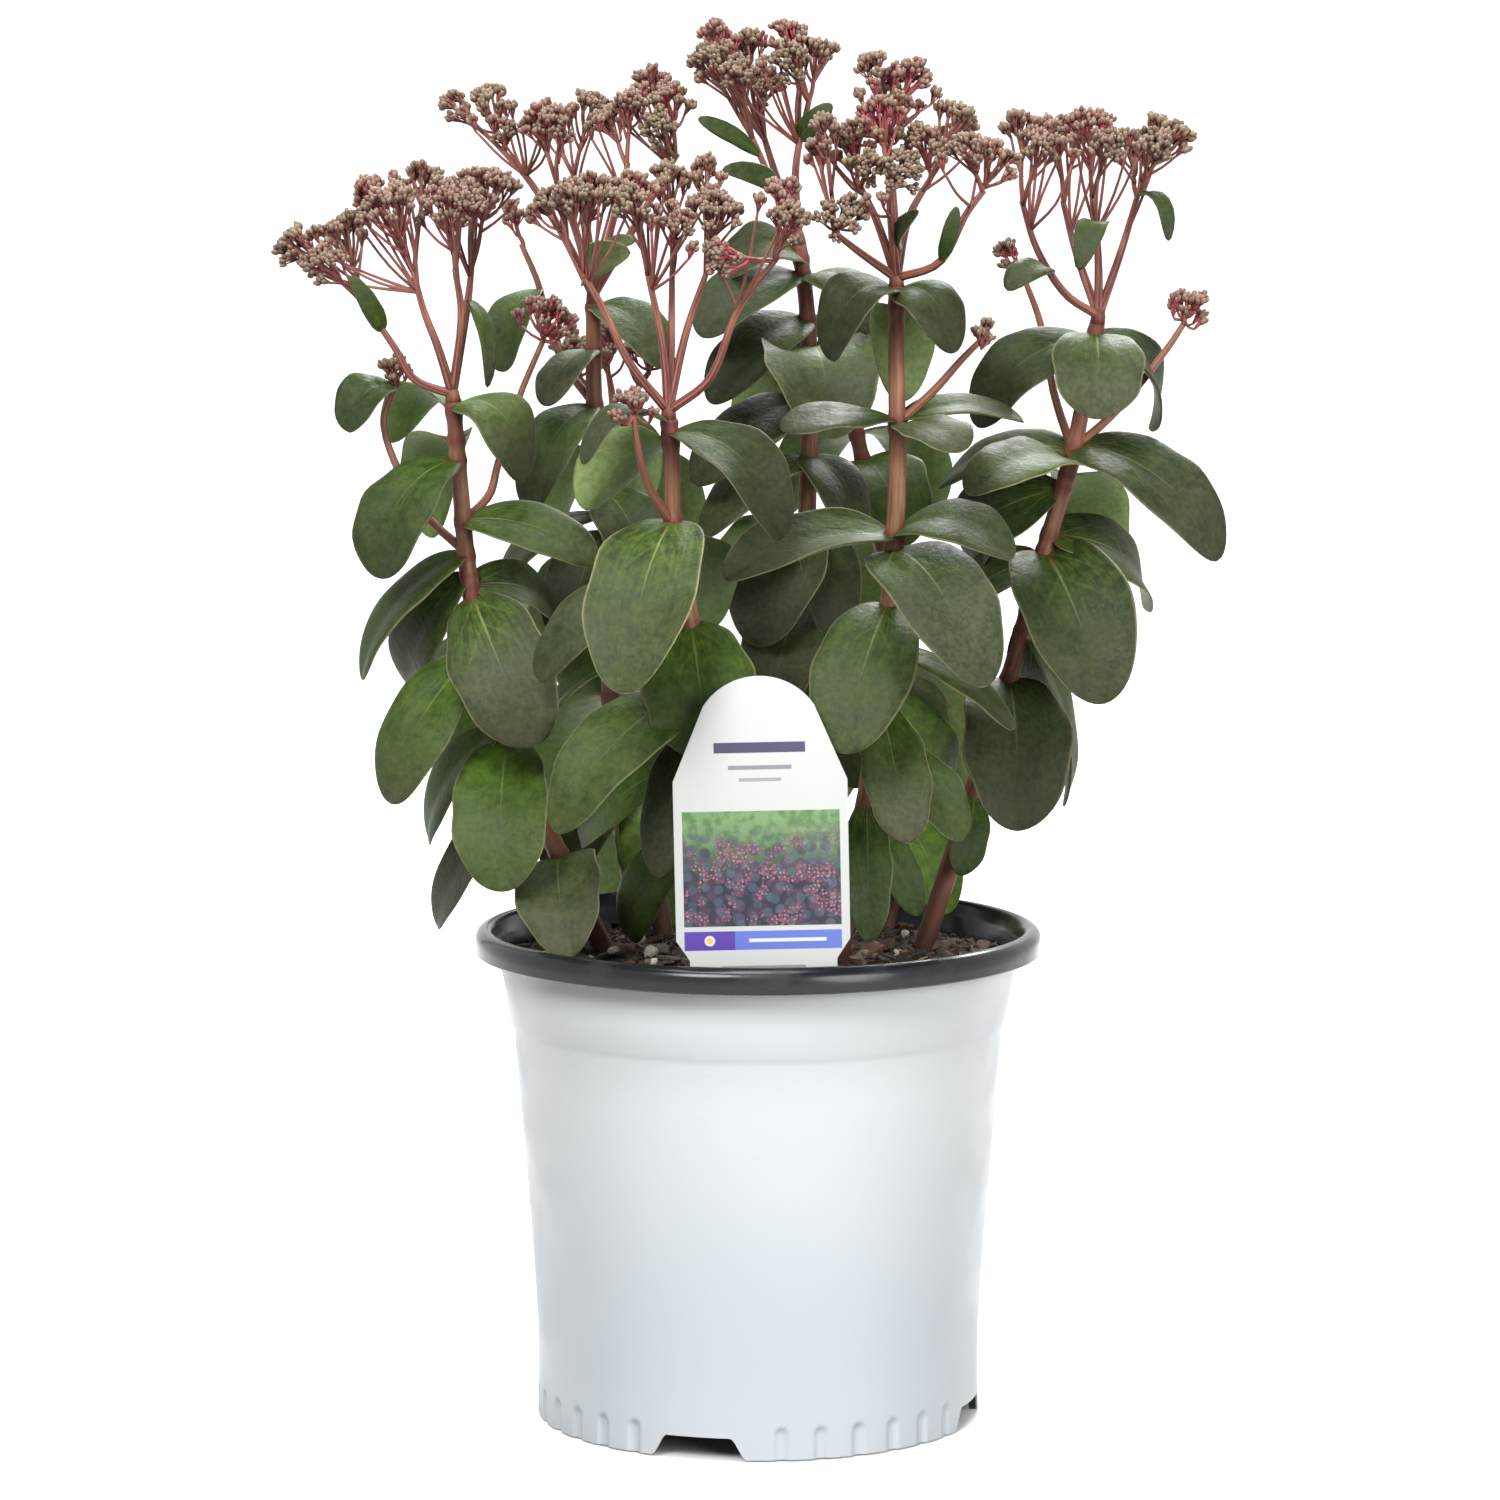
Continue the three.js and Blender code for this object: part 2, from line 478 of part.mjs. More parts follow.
// A fleshy leaf: two sheets of one plane, bent over the midrib, that meet along the margin.
function leaf(base, tip, width, turn, lift, arch, lobes) {
  const rows = rowsOf(width, turn, tip);
  const span = tip.clone().sub(base);
  const length = span.length();
  const along = span.clone().normalize();
  const up = facing(turn, lift);
  up.addScaledVector(along, -up.dot(along)).normalize();
  const side = new THREE.Vector3().crossVectors(along, up);
  const sheets = [1, -1].map((face) => {
    const sheet = new THREE.PlaneGeometry(2, 1, 2, rows.length - 1);
    const position = sheet.getAttribute("position");
    for (let i = 0; i < position.count; i++) {
      const s = position.getX(i);
      const t = rows[Math.round((0.5 - position.getY(i)) * (rows.length - 1))];
      const u = t ** LEAF_BROADEST;
      const spread = Math.max(0, 4 * u * (1 - u)) ** LEAF_FULLNESS;
      const half = (spread * width) / 2;
      const slope = 4 * arch * (1 - 2 * t);
      const tangent = along.clone().addScaledVector(up, slope).normalize();
      const normal = up.clone().addScaledVector(along, -slope).normalize();
      const body = (face * LEAF_THICK * (1 - s * s) * spread) / 2;
      const place = base.clone()
        .addScaledVector(span, t)
        .addScaledVector(up, 4 * arch * length * t * (1 - t))
        .addScaledVector(side, half * s)
        .addScaledVector(tangent, -lobes * half * Math.abs(s) * (1 - t) ** 3)
        .addScaledVector(normal, LEAF_FOLD * half * Math.abs(s) + body);
      position.setXYZ(i, place.x, place.y, place.z);
    }
    if (face > 0) sheet.index.array.reverse();
    return sheet;
  });
  return solidOf(mergeGeometries(sheets));
}

// A cluster of buds: a stalk that opens into a dome, with a bud raised from every face of the dome.
function budCluster(root, crown, radius, chance) {
  const length = crown.distanceTo(root) - BUD_TIP;
  const rise = Math.min(STALK_SHARE * radius, (1 - LEAST_STALK) * length);
  const dome = DOME_SHARE * radius;
  const bare = Math.max(length - dome - rise, 1);
  const stalk = [[0, 0], [TWIG_FOOT, 0.3], [TWIG, bare], [radius, length - dome]];
  const shoulder = radius > SMALL_CLUSTER ? [[SHOULDER.out * radius, length - SHOULDER.down * dome]] : [];
  const profile = [...stalk, ...shoulder, [0, length]].map(([x, y]) => new THREE.Vector2(x, y));
  const sides = radius > BIG_CLUSTER ? 5 : 4;
  const cup = welded(new THREE.LatheGeometry(profile, sides, 2 * Math.PI * chance())).toNonIndexed();
  const corners = cup.getAttribute("position");
  const points = [];
  for (let i = 0; i < corners.count; i += 3) {
    const [a, b, c] = [0, 1, 2].map((k) => new THREE.Vector3().fromBufferAttribute(corners, i + k));
    const centre = a.clone().add(b).add(c).divideScalar(3);
    const out = b.clone().sub(a).cross(c.clone().sub(a));
    if (out.length() < 1e-6) continue;
    if (centre.y < length - dome) points.push(a, b, c);
    else {
      const bud = centre.addScaledVector(out.normalize(), BUD_RISE * (0.8 + 0.4 * chance()));
      points.push(a, b, bud, b, c, bud, c, a, bud);
    }
  }
  const along = crown.clone().sub(root).normalize();
  const turn = new THREE.Quaternion().setFromUnitVectors(new THREE.Vector3(0, 1, 0), along);
  const cluster = new THREE.BufferGeometry().setFromPoints(points).applyQuaternion(turn);
  return solidOf(cluster.translate(root.x, root.y, root.z));
}

// A branch from a point inside its stem, with the stalks of its bud clusters rooted in its tip.
const branchCurve = (from, { path }) => new THREE.CatmullRomCurve3([from, ...path.map(at)]);
function branch(from, { path, buds }, chance) {
  const curve = branchCurve(from, { path });
  const root = curve.getPoint(TWIG_SHARE);
  return [
    solidOf(tube(curve, BRANCH_FOOT, BRANCH_TIP, BRANCH_SIDES, path.length)),
    ...buds.map(([x, z, y, radius]) => budCluster(root, at([x, z, y]), radius, chance)),
  ];
}

function leafySolid(shoot, chance) {
  const curve = curveThrough(shoot.stem);
  const stem = solidOf(tube(curve, STEM_FOOT, STEM_NECK, STEM_SIDES, stemSteps(shoot.stem)));
  const leaves = shoot.leaves.map(([height, place, ...form]) => {
    const tip = at(place);
    return leaf(onStem(shoot.stem, height, tip), tip, ...form);
  });
  const sprays = shoot.sprays.flatMap((spray) => {
    const foot = onStem(shoot.stem, spray.height, at(spray.path[0]));
    const small = (spray.leaves ?? []).map(([share, tip, ...form]) =>
      leaf(branchCurve(foot, spray).getPoint(share), at(tip), ...form));
    return [...branch(foot, spray, chance), ...small];
  });
  return joined([stem, ...leaves, ...sprays]);
}

function headSolid(shoot, chance) {
  const stem = curveThrough(shoot.stem);
  const rise = stem.getTangent(1);
  const [foot, fork, crown] = [GAP, NECK_FORK, NECK_LENGTH].map((up) =>
    stem.getPoint(1).addScaledVector(rise, up));
  const neck = solidOf(tube(new THREE.LineCurve3(foot, crown), STEM_NECK, NECK_TOP, STEM_SIDES, 1));
  const small = shoot.head.leaves.map(([[number, share], tip, ...form]) =>
    leaf(branchCurve(fork, shoot.head.branches[number]).getPoint(share), at(tip), ...form));
  return joined([neck, ...shoot.head.branches.flatMap((one) => branch(fork, one, chance)), ...small]);
}

// The outline of what is cut out of the foot's edge: wider at the bottom, and run a millimetre past the foot.
const outlineOf = (foot, crown, height) => new THREE.Shape([
  new THREE.Vector2(-foot / 2, -1), new THREE.Vector2(foot / 2, -1),
  new THREE.Vector2(crown / 2, height), new THREE.Vector2(-crown / 2, height),
]);

// That outline run outwards from a radius, at an angle from the front that counts towards +X.
function edgeCut(outline, radius, degrees) {
  const block = new THREE.ExtrudeGeometry(outline, { depth: CUT_DEPTH, bevelEnabled: false });
  return solidOf(block
    .rotateX(Math.PI / 2)
    .translate(0, -radius, 0)
    .rotateZ(THREE.MathUtils.degToRad(degrees)));
}

function potSolid() {
  const inside = [BODY[4], BODY[1]].map(([r, z]) => [r - WALL, z]);
  const shell = solidOf(turned([
    [0, FLOOR_UNDER], [FOOT_INNER, FLOOR_UNDER], [FOOT_INNER, 0], ...BODY, ...RIM, ...inside,
    [BODY[1][0] - WALL, FLOOR_TOP], [0, FLOOR_TOP],
  ], POT_SIDES));
  const cuts = [];
  for (let side = 0; side < NOTCH.count; side++) {
    const turn = (side * 360) / NOTCH.count;
    cuts.push(edgeCut(outlineOf(NOTCH.foot, NOTCH.crown, NOTCH.height), NOTCH.back, NOTCH.first + turn));
    for (let i = 0; i < FLUTE.perSide; i++) {
      const outline = outlineOf(FLUTE.width, FLUTE.crown, FLUTE.height);
      cuts.push(edgeCut(outline, BODY[0][0] - FLUTE.depth, FLUTE.first + turn + i * FLUTE.pitch));
    }
  }
  return cuts.reduce((pot, cut) => pot.subtract(cut), shell);
}

// A plain hole for a stem: the first straight stretch of its tube, a little wider and deeper.
function stemHole({ stem }) {
  const curve = curveThrough(stem);
  const [foot, above] = [0, 1 / stemSteps(stem)].map((share) => curve.getPointAt(share));
  foot.addScaledVector(above.clone().sub(foot).normalize(), -GAP);
  return solidOf(tube(new THREE.LineCurve3(foot, above), HOLE, HOLE, STEM_SIDES, 1));
}

function soilSolid(chance) {
  const clear = (r) => (r - WALL) * Math.cos(Math.PI / POT_SIDES) - GAP;
  const foot = clear(BODY[1][0]);
  const [bend, lip] = [BODY[4], BODY[5]].map(([r, z]) => [clear(r), z]);
  const brim = bend[0] + ((SOIL_TOP - bend[1]) / (lip[1] - bend[1])) * (clear(RIM_INNER + WALL) - bend[0]);
  const wall = [[0, FLOOR_TOP + GAP], [foot, FLOOR_TOP + GAP], [foot, BODY[1][1]], bend];
  const moundAt = (share) => SOIL_TOP + SOIL_MOUND * (1 - share ** 2);
  const top = [1, 0.76, 0.52, 0.28, 0].map((share) => [brim * share, moundAt(share)]);
  const heap = turned([...wall, ...top], SOIL_SIDES);
  const position = heap.getAttribute("position");
  for (let i = 0; i < position.count; i++) {
    const [x, y, z] = [position.getX(i), position.getY(i), position.getZ(i)];
    const inward = 1 - Math.hypot(x, y) / brim;
    const lump = LUMP.height * Math.sin(LUMP.alongX * x + 1) * Math.cos(LUMP.alongY * y);
    if (z >= SOIL_TOP && inward > 0.01) position.setZ(i, z + lump);
  }
  const bits = Array.from({ length: PERLITE.count }, (_, i) => {
    const angle = (i * 2 * Math.PI) / PERLITE.count + 0.6 * chance();
    const reach = PERLITE.nearest + PERLITE.spread * chance();
    const size = PERLITE.least + PERLITE.more * chance();
    const bit = new THREE.OctahedronGeometry(size).rotateX(chance()).rotateY(chance());
    const height = moundAt(reach / brim) + PERLITE.proud;
    return solidOf(bit.translate(reach * Math.cos(angle), reach * Math.sin(angle), height));
  });
  const whole = joined([solidOf(heap), ...bits]);
  const cuts = [solidOf(tagPlate(GAP)), ...SHOOTS.map(stemHole)];
  return cuts.reduce((soil, cut) => soil.subtract(cut), whole);
}

// The tag's plate: a pointed stake that widens to a card with a narrower round head.
function tagPlate(grow) {
  const { foot, neck, shoulder, top, half, thick } = TAG;
  const stake = STAKE.half + grow;
  const waist = STAKE.waist + grow;
  const point = foot + STAKE.point - grow;
  const side = THREE.MathUtils.degToRad(TAG_HEAD.side);
  const plate = new THREE.Shape()
    .moveTo(0, foot - grow)
    .lineTo(waist, point)
    .lineTo(stake, STAKE.flare - grow)
    .lineTo(stake, neck - STAKE.cut)
    .lineTo(half, neck)
    .lineTo(half, shoulder)
    .absarc(0, top - TAG_HEAD.radius, TAG_HEAD.radius, side, Math.PI - side)
    .lineTo(-half, shoulder)
    .lineTo(-half, neck)
    .lineTo(-stake, neck - STAKE.cut)
    .lineTo(-stake, STAKE.flare - grow)
    .lineTo(-waist, point);
  const form = { depth: thick + 2 * grow, bevelEnabled: false, curveSegments: 6 };
  return new THREE.ExtrudeGeometry(plate, form)
    .translate(0, -foot, -(thick + 2 * grow) / 2)
    .rotateZ(THREE.MathUtils.degToRad(TAG.lean))
    .rotateX(Math.PI / 2)
    .translate(TAG.x, TAG.y, foot);
}

const plant = new THREE.Group();
plant.add(meshOf("pot", potSolid(), FINISH.pot));
plant.add(meshOf("soil", soilSolid(seeded(3)), FINISH.soil));
plant.add(meshOf("tag", solidOf(tagPlate(0)), FINISH.tag));
SHOOTS.forEach((shoot, i) => {
  const chance = seeded(11 + i);
  plant.add(meshOf(`${shoot.name}_leafy_stem`, leafySolid(shoot, chance), FINISH.leaf));
  plant.add(meshOf(`${shoot.name}_flower_head`, headSolid(shoot, chance), FINISH.head));
});

export default plant;
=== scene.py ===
# A potted stonecrop in bud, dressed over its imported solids: a two-colour nursery pot, bark mix, a plant tag,
# and eight leafy shoots with flat flower heads. The pieces are shaped in millimetres and end in metres.
import itertools
import math
import random

import bmesh
import bpy
from mathutils import Matrix, Vector, noise


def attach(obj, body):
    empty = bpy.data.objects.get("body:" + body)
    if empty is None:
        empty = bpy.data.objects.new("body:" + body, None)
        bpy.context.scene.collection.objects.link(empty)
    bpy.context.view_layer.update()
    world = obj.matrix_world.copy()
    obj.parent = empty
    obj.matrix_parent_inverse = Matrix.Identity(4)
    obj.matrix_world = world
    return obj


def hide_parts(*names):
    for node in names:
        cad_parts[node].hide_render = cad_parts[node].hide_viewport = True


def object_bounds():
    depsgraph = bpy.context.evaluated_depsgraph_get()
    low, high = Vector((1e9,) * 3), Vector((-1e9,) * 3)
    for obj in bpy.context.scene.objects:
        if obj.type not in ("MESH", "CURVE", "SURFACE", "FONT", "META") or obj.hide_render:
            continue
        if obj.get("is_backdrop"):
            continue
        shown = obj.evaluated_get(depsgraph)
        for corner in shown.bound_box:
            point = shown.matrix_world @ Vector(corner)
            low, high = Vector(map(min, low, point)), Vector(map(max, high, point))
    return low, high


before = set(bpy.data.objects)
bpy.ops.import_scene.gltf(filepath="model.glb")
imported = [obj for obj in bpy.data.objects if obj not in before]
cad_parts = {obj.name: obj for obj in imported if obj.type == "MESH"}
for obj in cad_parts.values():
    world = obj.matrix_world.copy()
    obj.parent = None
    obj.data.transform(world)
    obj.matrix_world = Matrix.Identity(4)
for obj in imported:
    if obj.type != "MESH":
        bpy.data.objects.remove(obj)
CAD_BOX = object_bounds()
MM = 0.001
WELD = 0.002  # corners nearer than this are one
UP = Vector((0, 0, 1))
FULL_TURN = 2 * math.pi
ANY_TURN = (0, 6.28)

# Camera
EYE = Vector((-2.4, -1600, 388))
LOOK_DOWN = 6.76
LENS = 130.75

# Pot, as radius and height from the foot up
POT_STEPS = 600
SKIN = 0.5  # the pale outer layer of the wall
SKIN_GAP = 0.02
WALL = 1.3
BODY = [
    (65.8, 13), (65.7, 25), (67.2, 50), (69.6, 80), (71.6, 104), (72.6, 116), (73.1, 117.6), (73.8, 119),
    (74.9, 127), (76.5, 135), (78.2, 141.6),
]
FOOT_RADIUS = 65.8
FOOT_HEIGHT = 13
FOOT_ROWS = 16
FOOT_INNER = 63.2
FOOT_SLACK = 1
FLOOR_UNDER = 6.6
FLOOR_TOP = 8
UNDER_BEND = [(61.5, FLOOR_UNDER), (62.8, 6.3)]
FLOOR_BEND = [(64.4, 14), (63.6, 10), (62, FLOOR_TOP)]
RIM = [
    (78.4, 141.6), (82.4, 141.7), (82.7, 138.9), (83.0, 138.6), (83.6, 138.6), (84, 139), (84.05, 141),
    (84, 143), (83.6, 144.3), (82.6, 145.4), (81.4, 145.9), (80.5, 146), (79.6, 145.6), (78.9, 144.7),
    (78.2, 143.4), (77.4, 142.2), (76.9, 141),
]
NOTCHES = 4
NOTCH = {"first": -15.5, "foot": 29, "crown": 19, "height": 6.3}
FLUTE = {
    "count": 6, "first": 21.3, "pitch": 10.2, "width": 4.5, "edge": 1.3, "straight": 7.3, "crown": 2.3,
    "depth": 0.9,
}

# Soil
SOIL_STEPS = 180
SOIL_RINGS = 40
SOIL_FOOT = [(61.5, 8.2), (64, 14)]
SOIL_GAP = 0.15
SOIL_TOP = 136
SOIL_MOUND = 3
SOIL_BRIM = 75.1
SOIL_EVEN = 8  # how far in from the brim the lumps are full
SOIL_LUMPS = [(11, 0, 1.6), (4, 9, 0.8)]  # how wide, from which layer of the noise, and how high
CHIPS = {
    "count": 520, "brim": 71.6, "shapes": 7, "ragged": 0.16, "drawn_in": 0.22, "lengths": (3, 4, 4, 5, 6, 8),
    "width": (0.35, 0.7), "thick": (1, 2.4), "tilt": 0.35, "rise": 0.25, "red": 0.28, "tan": 0.09,
}
CRUMBS = {
    "count": 1500, "brim": 73.6, "shapes": 5, "radius": 0.56, "ragged": 0.09, "size": (0.7, 2), "rise": 0.3,
    "red": 0.2, "tan": 0.06,
}
PERLITE = {
    "count": 70, "brim": 71.1, "lumps": 3.1, "ragged": 0.35, "sizes": (1.6, 2, 2.4, 2.8, 3.4, 4.4),
    "flat": (0.6, 1), "rise": 0.32,
}

# Tag
TAG = {"x": 2.3, "y": -67, "foot": 108, "thick": 0.9, "lean": 1.2, "rounding": 0.15}
TAG_SIDE = [(7, 117), (21, 133), (21, 146.3), (24.8, 152), (24.8, 197.6)]
TAG_HEAD = {"radius": 19, "level": 208.4, "side": 34, "steps": 32}

# Leaves
LEAF_GRID = (14, 30)
SMALL_LEAF_GRID = (6, 10)
SMALL_LEAF = 13
LEAF_FLESH = 0.84  # how far each face stands off the leaf's middle
SMALL_LEAF_FLESH = 0.6
LEAF_WELD = 0.004
LEAF_ROOT = 0.5
LEAF_FOOT = 0.7  # half its width where it leaves the stem
LEAF_BROADEST = 1.15  # over 1, the leaf is broadest beyond its middle
LEAF_FULLNESS = 0.5
LEAF_WAVES = (6, 12)
GROOVE = {"depth": 0.3, "half": 0.8, "under": 1.1}
# The least and the most of what each leaf has of its own, in the order of their draws
LEAF_LUCK = {
    "twist": (-0.22, 0.22), "ripple": (0.02, 0.05), "nick": (0.015, 0.04), "fold": (0.04, 0.2),
    "curl": (-0.12, 0.16), "nod": (0, 0.05), "broader": (-0.3, 0.15),
}
LOW_LEAVES = (230, 160)  # from the first height down to the second, leaves grow mossier

# Stems and stalks
STEM_FOOT = 3.1
STEM_NECK = 2.3
STEM_SIDES = 14
STEM_STEPS = 90
NODE_SWELL = 0.45
NODE_REACH = 1.6
NECK_FORK = 2.4
NECK_LENGTH = 4.5
NECK_RADII = [STEM_NECK, 2.1, 1.6]
BRANCH_FOOT = 1.4
BRANCH_TIP = 0.82
BRANCH_SIDES = 8
BRANCH_STEPS = 14
TWIG_SHARE = 0.97
TWIG = 0.66
TWIG_SIDES = 6
TWIG_STEPS = 8
ARM_SIDES = 5
ARM_RADII = [0.56, 0.48, 0.44, 0.42, 0.42]
TWIGLET_RADII = [0.6, 0.52, 0.48, 0.45, 0.42, 0.42, 0.42]
PEDICEL = 0.26
# What a stalk's skin reads: how high it is, how near to a leaf's ring, and how far it has branched off
GROWTH = {
    "neck": (0.7, 0.5, 0.1), "spray": (0.6, 0, 0.25), "branch": (0.6, 0, 0.35), "twig": (0.6, 0, 0.45),
    "twiglet": (0.6, 0, 0.6), "arm": (0.6, 0, 0.75), "pedicel": (0.6, 0, 1),
}

# Flower heads
GOLDEN_ANGLE = math.radians(137.5)
CLUSTER = {
    "dome": 0.3, "arms_under": 1.1, "umbels_per_area": 0.15, "umbels_round": 0.5, "flank": (0.95, 1.2),
    "top_drop": (-1.2, 1.6), "flank_drop": (1, 4.5), "splay": 0.5,
}
UMBEL = {
    "reach": 2, "depth": 6, "spread": 1.1, "droop": 0.8, "drop": (-0.5, 1), "top_buds": (7, 8, 9),
    "flank_buds": (5, 6, 7),
}
BUD = {"length": 2.3, "width": 1.75, "size": (0.8, 1.15), "plump": (0.92, 1.08)}
CLOSE_CROWNS = (9, 25)

# Stage, with the lights, and the fade of the paper's emission that paints a shadow under the pot, in metres
PAPER_LEVEL = -0.6
PAPER_FLAT = 2200
PAPER_BEND = 1200
PAPER_TOP = 3600
PAPER_TURNS = 9
PAPER_STEPS = 96
PAPER_GLOW = 0.76
PAPER_PAINTED_SHADOW = (0.056, 0.08)  # painted shadow: the paper's emission fades out in between these two distances from the pot's axis
SKY = 0.21
LIGHT_AIM = Vector((0, 0, 0.2))
LIGHTS = {
    "key": {"place": Vector((-0.75, -1.75, 1.75)), "size": 1.1, "power": 64},
    "fill": {"place": Vector((1.4, -1.8, 0.7)), "size": 1.3, "power": 40},
    "top": {"place": Vector((-0.2, -0.3, 2.2)), "size": 1.1, "power": 42},
    "back": {"place": Vector((0.4, 1.5, 1.7)), "size": 1.2, "power": 62},
}

